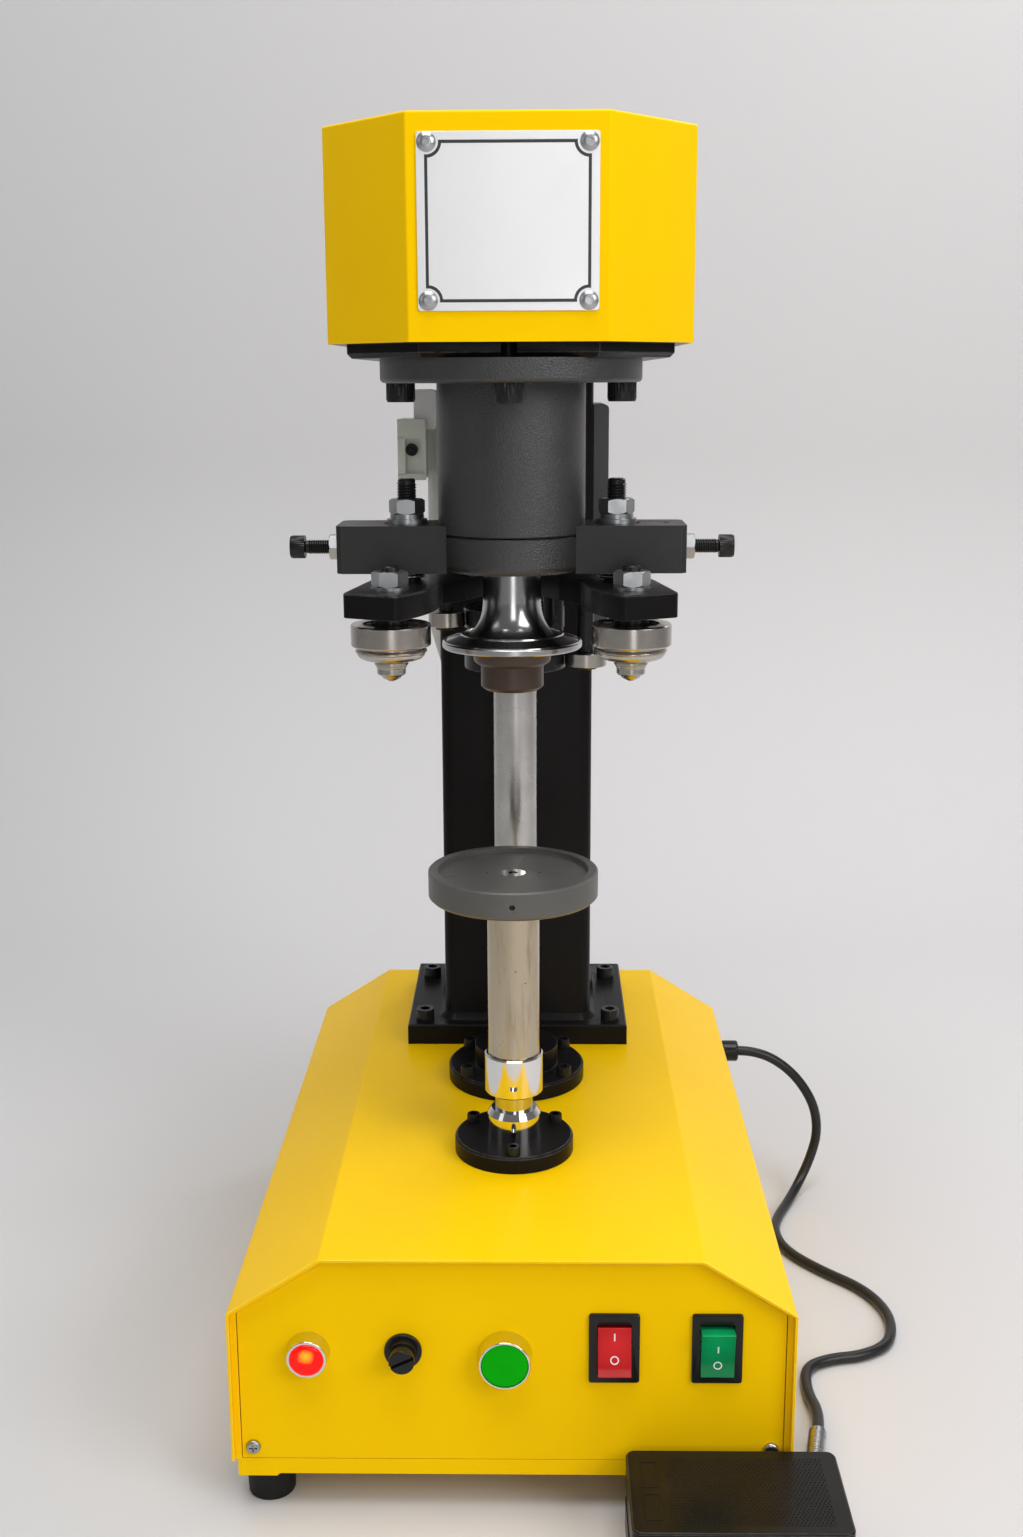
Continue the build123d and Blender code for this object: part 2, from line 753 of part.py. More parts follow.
# Chuck, turned in one piece: neck, flared disc with a bevelled lip, and stepped nose
with BuildPart() as chuck:
    with BuildSketch(Plane.XZ):
        with BuildLine():
            Line((0, nose_z), (nose_r, nose_z))
            Line((nose_r, nose_z), (nose_r, neck_top))
            Line((nose_r, neck_top), (neck_r, neck_top))
            Line((neck_r, neck_top), (neck_r, flare_top))
            TangentArc((neck_r, flare_top), (flare_r, lip_z + lip_t + 2.4), tangent=(0, -1))
            Line((flare_r, lip_z + lip_t + 2.4), (lip_r - 1.0, lip_z + lip_t))
            Line((lip_r - 1.0, lip_z + lip_t), (lip_r, lip_z + lip_t - 0.8))
            Line((lip_r, lip_z + lip_t - 0.8), (lip_r, lip_z))
            Line((lip_r, lip_z), (hub_r, lip_z))
            Line((hub_r, lip_z), (hub_r, lip_z - hub_step + 2))
            Line((hub_r, lip_z - hub_step + 2), (hub_r - 2.5, lip_z - hub_step))
            Line((hub_r - 2.5, lip_z - hub_step), (nose_hub_r, lip_z - hub_step))
            Line((nose_hub_r, lip_z - hub_step), (nose_hub_r, nose_hub_z + 2))
            Line((nose_hub_r, nose_hub_z + 2), (nose_hub_r - 2.4, nose_hub_z))
            Line((nose_hub_r - 2.4, nose_hub_z), (0, nose_hub_z))
            Line((0, nose_hub_z), (0, nose_z))
        make_face()
    revolve(axis=Axis.Z)
    with Locations((0, 0, nose_hub_z)):
        Cylinder(5.5, 7, align=on_bottom, mode=Mode.SUBTRACT)
save(chuck, "chuck")

# Spindle motor on the head plate, closed in by the cover
with BuildPart() as head_motor:
    with Locations((0, 0, plate_top)):
        Cylinder(head_motor_r + 8, 8, align=on_bottom)
        Cylinder(head_motor_r, head_motor_height, align=on_bottom)
    fillet(head_motor.edges().sort_by(Axis.Z)[-1], 5)
    with Locations((0, 0, plate_top)):
        Cylinder(spindle_r + running, 27, align=on_bottom, mode=Mode.SUBTRACT)
save(head_motor, "head_motor")

# Cross bar: two arms on the housing, slotted for the pivot studs
bar_top = bar_z + bar_height
bar_mid = bar_z + bar_height / 2
with BuildPart() as cross_bar:
    with BuildSketch(Plane.XY.offset(bar_z)) as bar_plan:
        Rectangle(2 * bar_half, bar_depth)
        chamfer(bar_plan.vertices(), bar_chamfer)
        Circle(housing_r, mode=Mode.SUBTRACT)
        with Locations((-pivot_x, 0), (pivot_x, 0)):
            SlotOverall(slot_length, 2 * stud_r + 0.4, mode=Mode.SUBTRACT)
    extrude(amount=bar_height)
    with Locations(
        Location((-pivot_x - slot_length / 2, 0, bar_mid), (0, -90, 0)),
        Location((pivot_x + slot_length / 2, 0, bar_mid), (0, 90, 0)),
    ):
        Cylinder(adjuster_r, 2 * bar_half, mode=Mode.SUBTRACT)
    with Locations((bar_half - 10, 0, bar_top)):
        Cylinder(2.0, 6, align=hang_down, mode=Mode.SUBTRACT)
save(cross_bar, "cross_bar")

# Pivot studs, clamped in the slots by a washer, a spring washer and a nut
washer_t = 2.5
spring_washer_t = 2.6
nut_t = 8.0
nut_across = 17.0
stud_z = lever_z - free_gap - stud_head
nut_z = bar_top + washer_t + spring_washer_t + 2 * seat_gap
with BuildPart() as pivot_studs:
    with Locations((-pivot_x, 0, stud_z), (pivot_x, 0, stud_z)):
        Cylinder(stud_head_r, stud_head, align=on_bottom)
        Cylinder(shoulder_r, bar_z - stud_z, align=on_bottom)
        Cylinder(stud_r, stud_top - stud_z, align=on_bottom)
    chamfer(pivot_studs.edges().group_by(Axis.Z)[-1], 0.8)
    for z, radius, height in (
        (bar_top, 11.0, washer_t),
        (bar_top + washer_t + seat_gap, 9.2, spring_washer_t),
    ):
        with BuildSketch(Plane.XY.offset(z)):
            with Locations((-pivot_x, 0), (pivot_x, 0)):
                Circle(radius)
                Circle(stud_r + seat_gap, mode=Mode.SUBTRACT)
        extrude(amount=height)
    with Locations((-pivot_x, 0, nut_z), (pivot_x, 0, nut_z)):
        add(hex_nut(nut_across, nut_t, stud_r + seat_gap))
save(pivot_studs, "pivot_studs")

# End screws push on the studs through the arms, each locked by a nut
adjuster_head_x = 113.0
adjuster_length = adjuster_head_x - pivot_x - stud_r - free_gap
lock_nut_t = 5.5
lock_nut_across = 13.0
with BuildPart() as adjusters:
    for side in (-1, 1):
        outward = Plane((side * bar_half, 0, bar_mid), x_dir=(0, 1, 0), z_dir=(side, 0, 0))
        with Locations(outward.offset(adjuster_head_x - bar_half)):
            add(socket_screw(2 * adjuster_r, adjuster_length))
        with Locations(outward.offset(seat_gap)):
            add(hex_nut(lock_nut_across, lock_nut_t, adjuster_r + seat_gap))
save(adjusters, "adjusters")

# Torsion springs round the stud shoulders swing the levers back
spring_wire = 0.8
spring_turn_r = 9.0
spring_pitch = 1.8
lever_top = lever_z + lever_t
spring_z = lever_top + spring_wire + free_gap
spring_height = bar_z - spring_wire - free_gap - spring_z
with BuildPart() as lever_springs:
    for side in (-1, 1):
        with BuildLine() as coil:
            Helix(spring_pitch, spring_height, spring_turn_r, center=(side * pivot_x, 0, spring_z))
        with BuildSketch(Plane(coil.line @ 0, z_dir=coil.line % 0)):
            Circle(spring_wire)
        sweep(path=coil.line)
save(lever_springs, "lever_springs")


def lever_plan():
    # Right lever from above: roller end in front, pivot in the middle, follower end behind
    rear_y = follower_y + 15
    outer_rear = (right_follower_x + 15, rear_y)
    inner_rear = (right_follower_x - 13, rear_y)
    corners = (
        ((58, -72), 3),
        ((87, -58), 4),
        ((78, 0), 20),
        ((66, 40), 20),
        (outer_rear, 13),
        (inner_rear, 11),
        ((15, 66), 12),
        ((15, 34), 8),
        ((26, 12), 8),
        ((39, -6), 8),
    )
    with BuildSketch() as plan:
        with BuildLine():
            Polyline(*[corner for corner, _ in corners])
            ThreePointArc((39, -6), (42, -38), (58, -72))
        make_face()
        for corner, radius in corners:
            fillet(plan.vertices().sort_by_distance((*corner, 0))[0], radius)
    return plan.sketch


def lever(side):
    follower_x = right_follower_x if side > 0 else left_follower_x
    with BuildPart() as arm:
        with BuildSketch(Plane.XY.offset(lever_z)):
            add(lever_plan())
        extrude(amount=lever_t)
        chamfer(arm.edges().group_by(Axis.Z)[-1], 0.6)
        if side < 0:
            mirror(about=Plane.YZ, mode=Mode.REPLACE)
        with Locations((side * pivot_x, 0, lever_z)):
            Cylinder(shoulder_r + running, lever_t, align=on_bottom, mode=Mode.SUBTRACT)
        with Locations((side * roller_x, roller_y, lever_z)):
            Cylinder(roller_pin_r, lever_t, align=on_bottom, mode=Mode.SUBTRACT)
        with Locations((side * follower_x, follower_y, lever_z)):
            Cylinder(follower_boss_r, lever_t, align=on_bottom, mode=Mode.SUBTRACT)
        if side > 0:
            with Locations((stop_x, stop_y, lever_z)):
                Cylinder(stop_r - 2, lever_t, align=on_bottom, mode=Mode.SUBTRACT)
    return arm


left_lever = lever(-1)
save(left_lever, "left_lever")
right_lever = lever(1)
save(right_lever, "right_lever")


# Seaming rollers: a ring with a sunk face, a groove and a rounded flange
roller_seat_z = roller_top - 4.0
acorn_z = 450.4
acorn_flange = 4.0
acorn_r = 7.3
dome = 5.0
roller_foot_z = acorn_z + acorn_flange + free_gap


def roller(side):
    bore = roller_pin_r + running
    with BuildPart() as wheel:
        with BuildSketch(Plane.XZ):
            with BuildLine():
                Polyline((bore, roller_foot_z), (13.0, roller_foot_z), (16.4, roller_z - 0.3))
                ThreePointArc(
                    (16.4, roller_z - 0.3), (18.1, roller_z + 1.6), (16.9, roller_z + 3.4)
                )
                Polyline(
                    (16.9, roller_z + 3.4),
                    (roller_r - 0.6, roller_z + 3.4),
                    (roller_r, roller_z + 4.0),
                    (roller_r, roller_top - 0.6),
                    (roller_r - 0.6, roller_top),
                    (14.2, roller_top),
                    (14.2, roller_seat_z),
                    (bore, roller_seat_z),
                    (bore, roller_foot_z),
                )
            make_face()
        revolve(axis=Axis.Z)
    wheel.part = wheel.part.moved(Location((side * roller_x, roller_y, 0)))
    return wheel


left_roller = roller(-1)
save(left_roller, "left_roller")
right_roller = roller(1)
save(right_roller, "right_roller")

# Roller pins with their nuts, follower pins with a collar, and the stop pin on the right
pin_collar_r = 9.0
washer_r = 10.0
lever_washer_t = 1.6
pin_top = lever_top + 12.5
keeper_r = 7.0
keeper_t = 1.6


def lever_pins(side):
    follower_x = side * (right_follower_x if side > 0 else left_follower_x)
    follower_z = right_follower_z if side > 0 else left_follower_z
    follower_t = right_follower_t if side > 0 else left_follower_t
    boss_z = follower_z + follower_t + free_gap
    keeper_z = follower_z - free_gap - keeper_t
    nut_bore = roller_pin_r + seat_gap
    dome_z = acorn_z - 4.2
    dome_ball = (acorn_r**2 + dome**2) / (2 * dome)
    half_turn = math.asin(acorn_r / dome_ball) / 2
    dome_middle = (
        dome_ball * math.sin(half_turn),
        dome_z - dome + dome_ball * (1 - math.cos(half_turn)),
    )
    with BuildPart() as acorn_nut:
        with BuildSketch(Plane.XZ):
            with BuildLine():
                Polyline(
                    (nut_bore, acorn_z + acorn_flange),
                    (pin_collar_r - 0.5, acorn_z + acorn_flange),
                    (pin_collar_r, acorn_z + acorn_flange - 0.5),
                    (pin_collar_r, acorn_z + 0.5),
                    (pin_collar_r - 0.5, acorn_z),
                    (acorn_r, acorn_z),
                    (acorn_r, dome_z),
                )
                ThreePointArc((acorn_r, dome_z), dome_middle, (0, dome_z - dome))
                Polyline(
                    (0, dome_z - dome),
                    (0, acorn_z - 2.5),
                    (nut_bore, acorn_z - 2.5),
                    (nut_bore, acorn_z + acorn_flange),
                )
            make_face()
        revolve(axis=Axis.Z)
    with BuildPart() as pins:
        with Locations((0, 0, roller_seat_z + free_gap)):
            Cylinder(pin_collar_r, lever_z - roller_seat_z - free_gap, align=on_bottom)
        with Locations((0, 0, acorn_z - 2)):
            Cylinder(roller_pin_r, pin_top - acorn_z + 2, align=on_bottom)
        chamfer(pins.edges().group_by(Axis.Z)[-1], 0.8)
        add(acorn_nut.part)
        with BuildSketch(Plane.XY.offset(lever_top)):
            Circle(washer_r)
            Circle(nut_bore, mode=Mode.SUBTRACT)
        extrude(amount=lever_washer_t)
        with Locations((0, 0, lever_top + lever_washer_t + seat_gap)):
            add(hex_nut(nut_across, nut_t, nut_bore))
        across = follower_x - side * roller_x
        back = follower_y - roller_y
        with Locations((across, back, boss_z)):
            Cylinder(follower_boss_r, lever_top - boss_z, align=on_bottom)
        with Locations((across, back, keeper_z)):
            Cylinder(follower_pin_r, boss_z - keeper_z, align=on_bottom)
            Cylinder(keeper_r, keeper_t, align=on_bottom)
        if side > 0:
            with Locations((stop_x - roller_x, stop_y - roller_y, stop_z)):
                Cone(stop_r - 2, stop_r, 2, align=on_bottom)
            with Locations((stop_x - roller_x, stop_y - roller_y, stop_z + 2)):
                Cylinder(stop_r, lever_z - stop_z - 2, align=on_bottom)
                Cylinder(stop_r - 2, lever_top - stop_z - 2, align=on_bottom)
    pins.part = pins.part.moved(Location((side * roller_x, roller_y, 0)))
    return pins


left_pins = lever_pins(-1)
save(left_pins, "left_pins")
right_pins = lever_pins(1)
save(right_pins, "right_pins")


def follower(x, z, radius, height):
    with BuildPart() as ring:
        Cylinder(radius, height, align=on_bottom)
        chamfer(ring.edges().filter_by(GeomType.CIRCLE), 0.4)
        Cylinder(follower_pin_r + running, height, align=on_bottom, mode=Mode.SUBTRACT)
    ring.part = ring.part.moved(Location((x, follower_y, z)))
    return ring


left_follower = follower(-left_follower_x, left_follower_z, left_follower_r, left_follower_t)
save(left_follower, "left_follower")
right_follower = follower(right_follower_x, right_follower_z, right_follower_r, right_follower_t)
save(right_follower, "right_follower")

# Rear shaft from the gearbox to the head, with one cam for each lever
shaft_foot_rise = 46.0
shaft_foot = floor_z + shaft_foot_rise
with BuildPart() as cam_shaft:
    with Locations((0, rear_shaft_y, shaft_foot)):
        Cylinder(rear_shaft_r, plate_top + 4 - shaft_foot, align=on_bottom)
    chamfer(cam_shaft.edges().filter_by(GeomType.CIRCLE), 1.0)
save(cam_shaft, "cam_shaft")


def cam_outline(side, follower_x, follower_r, start):
    # The follower's centre as the cam sees it, brought in by the follower's radius: the lever
    # swings evenly over the stroke, rests at the top, and falls back over the return
    def follower_centre(turn):
        on = (turn - start) % 360
        if on < cam_stroke:
            share = on / cam_stroke
        elif on < cam_stroke + cam_top:
            share = 1.0
        elif on < cam_stroke + cam_top + cam_return:
            share = (1 + math.cos(math.pi * (on - cam_stroke - cam_top) / cam_return)) / 2
        else:
            share = 0.0
        swing = math.radians(-side * lever_swing * share)
        arm_x, arm_y = side * (follower_x - pivot_x), follower_y
        x = side * pivot_x + arm_x * math.cos(swing) - arm_y * math.sin(swing)
        y = arm_x * math.sin(swing) + arm_y * math.cos(swing) - rear_shaft_y
        back = math.radians(-turn)
        return (
            x * math.cos(back) - y * math.sin(back),
            x * math.sin(back) + y * math.cos(back),
        )

    def contact(turn):
        x, y = follower_centre(turn)
        before, after = follower_centre(turn - 0.5), follower_centre(turn + 0.5)
        along_x, along_y = after[0] - before[0], after[1] - before[1]
        inward = (follower_r + free_gap) / math.hypot(along_x, along_y)
        return x + along_y * inward, rear_shaft_y + y - along_x * inward

    worked = cam_stroke + cam_top + cam_return
    flank = [contact(start + turn) for turn in range(0, worked + 1, cam_step)]
    with BuildSketch() as plan:
        with BuildLine():
            Spline(*flank)
            ThreePointArc(flank[-1], contact(start + worked + (360 - worked) / 2), flank[0])
        make_face()
    return plan.sketch


cam_hub_r = 22.0
left_cam_z = left_follower_z + left_follower_t / 2 - cam_t / 2
right_cam_z = right_follower_z + right_follower_t / 2 - cam_t / 2
with BuildPart() as cams:
    with BuildSketch(Plane.XY.offset(left_cam_z)):
        add(cam_outline(-1, left_follower_x, left_follower_r, 0))
    extrude(amount=cam_t)
    with BuildSketch(Plane.XY.offset(right_cam_z)):
        add(cam_outline(1, right_follower_x, right_follower_r, 180))
    extrude(amount=cam_t)
    with Locations((0, rear_shaft_y, right_cam_z)):
        Cylinder(cam_hub_r, left_cam_z - right_cam_z, align=on_bottom)
        Cylinder(
            rear_shaft_r,
            left_cam_z + cam_t - right_cam_z,
            align=on_bottom,
            mode=Mode.SUBTRACT,
        )
save(cams, "cams")

# Lift: rod, height collar and post tube, with the tray turning in the tube's mouth
post_guide = 44.0
pivot_bore = tray_pivot_length + 2.0
with BuildPart() as lift_rod:
    with Locations((0, 0, rod_foot)):
        Cylinder(lift_rod_r, post_z + post_guide - 2 - rod_foot, align=on_bottom)
    chamfer(lift_rod.edges().filter_by(GeomType.CIRCLE), 1.0)
save(lift_rod, "lift_rod")

collar_screw_r = 2.6
collar_screw_z = 8.0
with BuildPart() as height_collar:
    with Locations((0, 0, collar_z)):
        Cylinder(collar_r, collar_height, align=on_bottom)
    chamfer(height_collar.edges().filter_by(GeomType.CIRCLE), 0.8)
    with Locations((0, 0, collar_z)):
        Cylinder(lift_rod_r, collar_height, align=on_bottom, mode=Mode.SUBTRACT)
    with Locations(Location((0, -collar_r, collar_z + collar_screw_z), (90, 0, 0))):
        Cylinder(collar_screw_r, 6, mode=Mode.SUBTRACT)
save(height_collar, "height_collar")

with BuildPart() as post_tube:
    with Locations((0, 0, post_z)):
        Cylinder(post_r, post_height, align=on_bottom)
    chamfer(post_tube.edges().filter_by(GeomType.CIRCLE), 0.6)
    with Locations((0, 0, post_z)):
        Cylinder(lift_rod_r, post_guide, align=on_bottom, mode=Mode.SUBTRACT)
    with Locations((0, 0, post_z + post_height)):
        Cylinder(tray_pivot_r + running, pivot_bore, align=hang_down, mode=Mode.SUBTRACT)
save(post_tube, "post_tube")

tray_screw_head_r = 7.3
tray_screw_r = 4.0
tray_screw_length = 24.0
head_depth = tray_screw_head_r - tray_screw_r
tray_floor = tray_top - tray_recess
with BuildPart() as can_tray:
    with Locations((0, 0, tray_z)):
        Cylinder(tray_r, tray_t, align=on_bottom)
    chamfer(can_tray.edges().group_by(Axis.Z)[0], 1.6)
    chamfer(can_tray.edges().group_by(Axis.Z)[-1], 0.8)
    with Locations((0, 0, tray_floor)):
        Cylinder(tray_recess_r, tray_t, align=on_bottom, mode=Mode.SUBTRACT)
    with Locations((0, 0, tray_z)):
        Cylinder(tray_pivot_r, tray_pivot_length, align=hang_down)
    with Locations((0, 0, tray_floor)):
        Cylinder(tray_screw_r, tray_screw_length, align=hang_down, mode=Mode.SUBTRACT)
        Cone(
            tray_screw_r,
            tray_screw_head_r,
            head_depth,
            align=hang_down,
            mode=Mode.SUBTRACT,
        )
    with Locations((-15, 0, tray_floor), (15, 0, tray_floor)):
        Cylinder(1.2, 1.6, mode=Mode.SUBTRACT)
    with Locations(Location((0, -tray_r, tray_z + tray_t / 2), (90, 0, 0))):
        Cylinder(1.6, 8, mode=Mode.SUBTRACT)
save(can_tray, "can_tray")

with BuildPart() as tray_screw:
    with Locations((0, 0, tray_floor)):
        Cylinder(tray_screw_r, tray_screw_length, align=hang_down)
        Cone(tray_screw_r, tray_screw_head_r, head_depth, align=hang_down)
    with BuildSketch(Plane.XY.offset(tray_floor)):
        RegularPolygon(hex_radius(5), 6)
    extrude(amount=-3, mode=Mode.SUBTRACT)
save(tray_screw, "tray_screw")

# Lift unit under the deck plate, and the gear motor that stands on the pan
with BuildPart() as lift_unit:
    with Locations((0, 0, deck_under)):
        Cylinder(lift_unit_r + 8, 8, align=hang_down)
        Cylinder(lift_unit_r, deck_under - rod_foot + 24, align=hang_down)
        Cylinder(
            lift_rod_r + running,
            deck_under - rod_foot + 4,
            align=hang_down,
            mode=Mode.SUBTRACT,
        )
save(lift_unit, "lift_unit")

motor_front = rear_shaft_y + gearbox_size / 2
motor_length = rear_panel_front - motor_clear - motor_front
with BuildPart() as gear_motor:
    with Locations((0, rear_shaft_y, floor_z)):
        Box(gearbox_size, gearbox_size, gearbox_height, align=on_bottom)
    fillet(gear_motor.edges().filter_by(Axis.Z), 4)
    with Locations((0, rear_shaft_y, floor_z + gearbox_height)):
        Cylinder(26, 6, align=on_bottom)
    with Locations(Location((0, motor_front, floor_z + gearbox_height / 2), (-90, 0, 0))):
        Cylinder(motor_r, motor_length, align=on_bottom)
    fillet(gear_motor.edges().group_by(Axis.Y)[-1], 5)
    with Locations((0, rear_shaft_y, shaft_foot - 3)):
        Cylinder(rear_shaft_r + running, 2 * gearbox_height, align=on_bottom, mode=Mode.SUBTRACT)
save(gear_motor, "gear_motor")


def side_plate(side, top, thickness):
    inner = side * column_size / 2
    outer = inner + side * thickness
    with BuildPart() as plate:
        with BuildSketch(Plane.XZ.offset(-column_front - column_corner)):
            with BuildLine():
                Polyline(
                    (inner, side_plate_foot),
                    (outer, side_plate_taper),
                    (outer, top),
                    (inner, top),
                    close=True,
                )
            make_face()
        extrude(amount=-side_plate_depth)
        upper = plate.edges().group_by(Axis.Z)[-1].filter_by(Axis.Y)
        fillet(upper.sort_by(Axis.X)[0 if side < 0 else -1], 3)
    return plate


left_side_plate = side_plate(-1, side_plate_top, side_plate_t)
save(left_side_plate, "left_side_plate")
right_side_plate = side_plate(1, right_plate_top, right_plate_t)
save(right_side_plate, "right_side_plate")

# Limit switch on the left side plate, a moulded block with a sunk face
switch_mid_x = -column_size / 2 - side_plate_t - switch_x / 2
switch_front = column_front - 6.0
with BuildPart() as limit_switch:
    with Locations((switch_mid_x, switch_front, switch_mid)):
        Box(switch_x, switch_y, switch_z, align=(Align.CENTER, Align.MIN, Align.CENTER))
    fillet(limit_switch.edges().filter_by(Axis.Y), 2)
    with BuildSketch(Plane.XZ.offset(-switch_front)):
        with Locations((switch_mid_x, switch_mid)):
            RectangleRounded(switch_x - 5, switch_z - 9, 3)
    extrude(amount=-1.5, mode=Mode.SUBTRACT)
    with Locations(Location((switch_mid_x, switch_front, switch_mid), (90, 0, 0))):
        Cylinder(3.0, 12, mode=Mode.SUBTRACT)
save(limit_switch, "limit_switch")

# Lamp, fuse holder and push button on the front panel
lamp_proud = 8.5
lens_r = 9.2
button_proud = 10.0
button_r = 12.6
stem_r = 6.0


def on_panel(x, z, out=0.0):
    return Plane(origin=(x, panel_front - out, z), x_dir=(1, 0, 0), z_dir=(0, -1, 0))


def bezel(x, z, root_r, rim_r, proud, thread_r, bore):
    # Tapered bezel with a threaded neck through the panel and a nut behind it
    with BuildPart() as ring:
        with Locations(on_panel(x, z)):
            Cone(root_r, rim_r, proud, align=on_bottom)
        fillet(ring.edges().filter_by(GeomType.CIRCLE).sort_by(Axis.Y)[0], 0.5)
        with Locations(on_panel(x, z)):
            Cylinder(thread_r, 26, align=hang_down)
            Cylinder(bore, proud, align=on_bottom, mode=Mode.SUBTRACT)
        with Locations(on_panel(x, z, -sheet - seat_gap)):
            with Locations(Location((0, 0, 0), (180, 0, 0))):
                add(hex_nut(2.4 * thread_r, 3.5, thread_r + seat_gap))
    return ring


pilot_bezel = bezel(pilot_x, pilot_z, 11.7, 10.5, lamp_proud, pilot_hole, lens_r)
save(pilot_bezel, "pilot_bezel")

with BuildPart() as pilot_lens:
    with Locations(on_panel(pilot_x, pilot_z)):
        Cylinder(lens_r, lamp_proud + 1.6, align=on_bottom)
    fillet(pilot_lens.edges().sort_by(Axis.Y)[0], 2.2)
save(pilot_lens, "pilot_lens")

fuse_flange_r = 10.0
fuse_barrel_r = 7.8
fuse_barrel = 6.2
fuse_cap_r = 6.8
fuse_cap_height = 6.0
fuse_stem_r = 4.6
with BuildPart() as fuse_holder:
    with Locations(on_panel(fuse_x, fuse_z)):
        Cylinder(fuse_flange_r, 2.2, align=on_bottom)
    fillet(fuse_holder.edges().filter_by(GeomType.CIRCLE).sort_by(Axis.Y)[0], 0.6)
    with Locations(on_panel(fuse_x, fuse_z)):
        Cylinder(fuse_barrel_r, fuse_barrel, align=on_bottom)
        Cylinder(fuse_hole, 34, align=hang_down)
        Cylinder(fuse_stem_r + running, 20, mode=Mode.SUBTRACT)
    with Locations(on_panel(fuse_x, fuse_z, -sheet - seat_gap)):
        with Locations(Location((0, 0, 0), (180, 0, 0))):
            add(hex_nut(17, 3.0, fuse_hole + seat_gap))
save(fuse_holder, "fuse_holder")

with BuildPart() as fuse_cap:
    with Locations(on_panel(fuse_x, fuse_z, fuse_barrel + free_gap)):
        Cylinder(fuse_cap_r, fuse_cap_height, align=on_bottom)
        fillet(fuse_cap.edges().filter_by(GeomType.CIRCLE).sort_by(Axis.Y)[0], 0.8)
        Cylinder(fuse_stem_r, 12, align=hang_down)
    with BuildSketch(on_panel(fuse_x, fuse_z, fuse_barrel + free_gap + fuse_cap_height)):
        Rectangle(2 * fuse_cap_r, 1.8, rotation=25)
    extrude(amount=-1.8, mode=Mode.SUBTRACT)
save(fuse_cap, "fuse_cap")

button_bezel = bezel(button_x, button_z, 14.7, 13.6, button_proud, button_hole, button_r + running)
with BuildPart(mode=Mode.PRIVATE) as button_guide:
    with Locations(on_panel(button_x, button_z)):
        Cylinder(stem_r + running, 2 * 27, mode=Mode.ADD)
button_bezel.part = button_bezel.part - button_guide.part
save(button_bezel, "button_bezel")

with BuildPart() as start_button:
    with Locations(on_panel(button_x, button_z, button_proud - 0.5)):
        Cylinder(button_r, button_proud - 0.5 - button_travel - free_gap, align=hang_down)
        Cylinder(stem_r, 30, align=hang_down)
    chamfer(start_button.edges().filter_by(GeomType.CIRCLE).sort_by(Axis.Y)[0], 0.5)
save(start_button, "start_button")

# Rocker switches: a frame and body for both, and a rocker in each
frame_proud = 2.2
window_x, window_z, window_depth = 18.2, 28.8, 12.0
rocker_pivot = panel_front - frame_proud + 2.0
body_depth = 24.0
with BuildPart() as rocker_frames:
    with BuildSketch(on_panel(0, rocker_z)):
        with Locations((red_x, 0), (green_x, 0)):
            RectangleRounded(bezel_x, bezel_z, 1.5)
    extrude(amount=frame_proud)
    chamfer(rocker_frames.edges().group_by(Axis.Y)[0], 0.6)
    with BuildSketch(on_panel(0, rocker_z)):
        with Locations((red_x, 0), (green_x, 0)):
            Rectangle(body_x, body_z)
    extrude(amount=-body_depth)
    with BuildSketch(on_panel(0, rocker_z, frame_proud)):
        with Locations((red_x, 0), (green_x, 0)):
            Rectangle(window_x, window_z)
    extrude(amount=-window_depth, mode=Mode.SUBTRACT)
    for x in (red_x, green_x):
        with Locations(Location((x, rocker_pivot, rocker_z), (0, 90, 0))):
            Cylinder(rocker_pin_r, window_x)
save(rocker_frames, "rocker_frames")

rocker_rise = 5.2
rocker_dip = 1.7
rocker_depth = 4.0


def rocker(x, tilt):
    # Side profile with a hollow face, turned about the pivot to its rest position
    front = rocker_rise + 2.0
    half = rocker_height / 2
    with BuildPart() as key:
        with BuildSketch(Plane.YZ):
            with BuildLine():
                Polyline((-front, half), (rocker_depth, half - 3), (rocker_depth, 3 - half), (-front, -half))
                ThreePointArc((-front, -half), (rocker_dip - front, 0), (-front, half))
            make_face()
        extrude(amount=rocker_x / 2, both=True)
        chamfer(key.edges().group_by(Axis.Y)[0], 0.5)
        with Locations(Location((0, 0, 0), (0, 90, 0))):
            Cylinder(rocker_pin_r + running, 2 * rocker_x, mode=Mode.SUBTRACT)
    turned = Location((x, rocker_pivot, rocker_z), (tilt, 0, 0))
    key.part = key.part.moved(turned)
    return key


red_rocker = rocker(red_x, -rocker_tilt)
save(red_rocker, "red_rocker")
green_rocker = rocker(green_x, rocker_tilt)
save(green_rocker, "green_rocker")

# Glands: the pedal cord's on the right side, the mains lead's on the rear panel
gland_r = 7.6


def gland(place):
    with BuildPart() as fitting:
        with Locations(place):
            Cylinder(gland_r, gland_length, align=on_bottom)
        fillet(fitting.edges().filter_by(GeomType.CIRCLE), 1.6)
        with Locations(place):
            Cylinder(gland_thread, 12, align=hang_down)
    return fitting.part


pedal_gland_place = Plane((base_width / 2, gland_y, gland_z), x_dir=(0, 1, 0), z_dir=(1, 0, 0))
mains_gland_place = Plane((mains_x, rear_panel_front + sheet, mains_z), x_dir=(1, 0, 0), z_dir=(0, 1, 0))
with BuildPart() as cord_glands:
    add(gland(pedal_gland_place))
    add(gland(mains_gland_place))
save(cord_glands, "cord_glands")

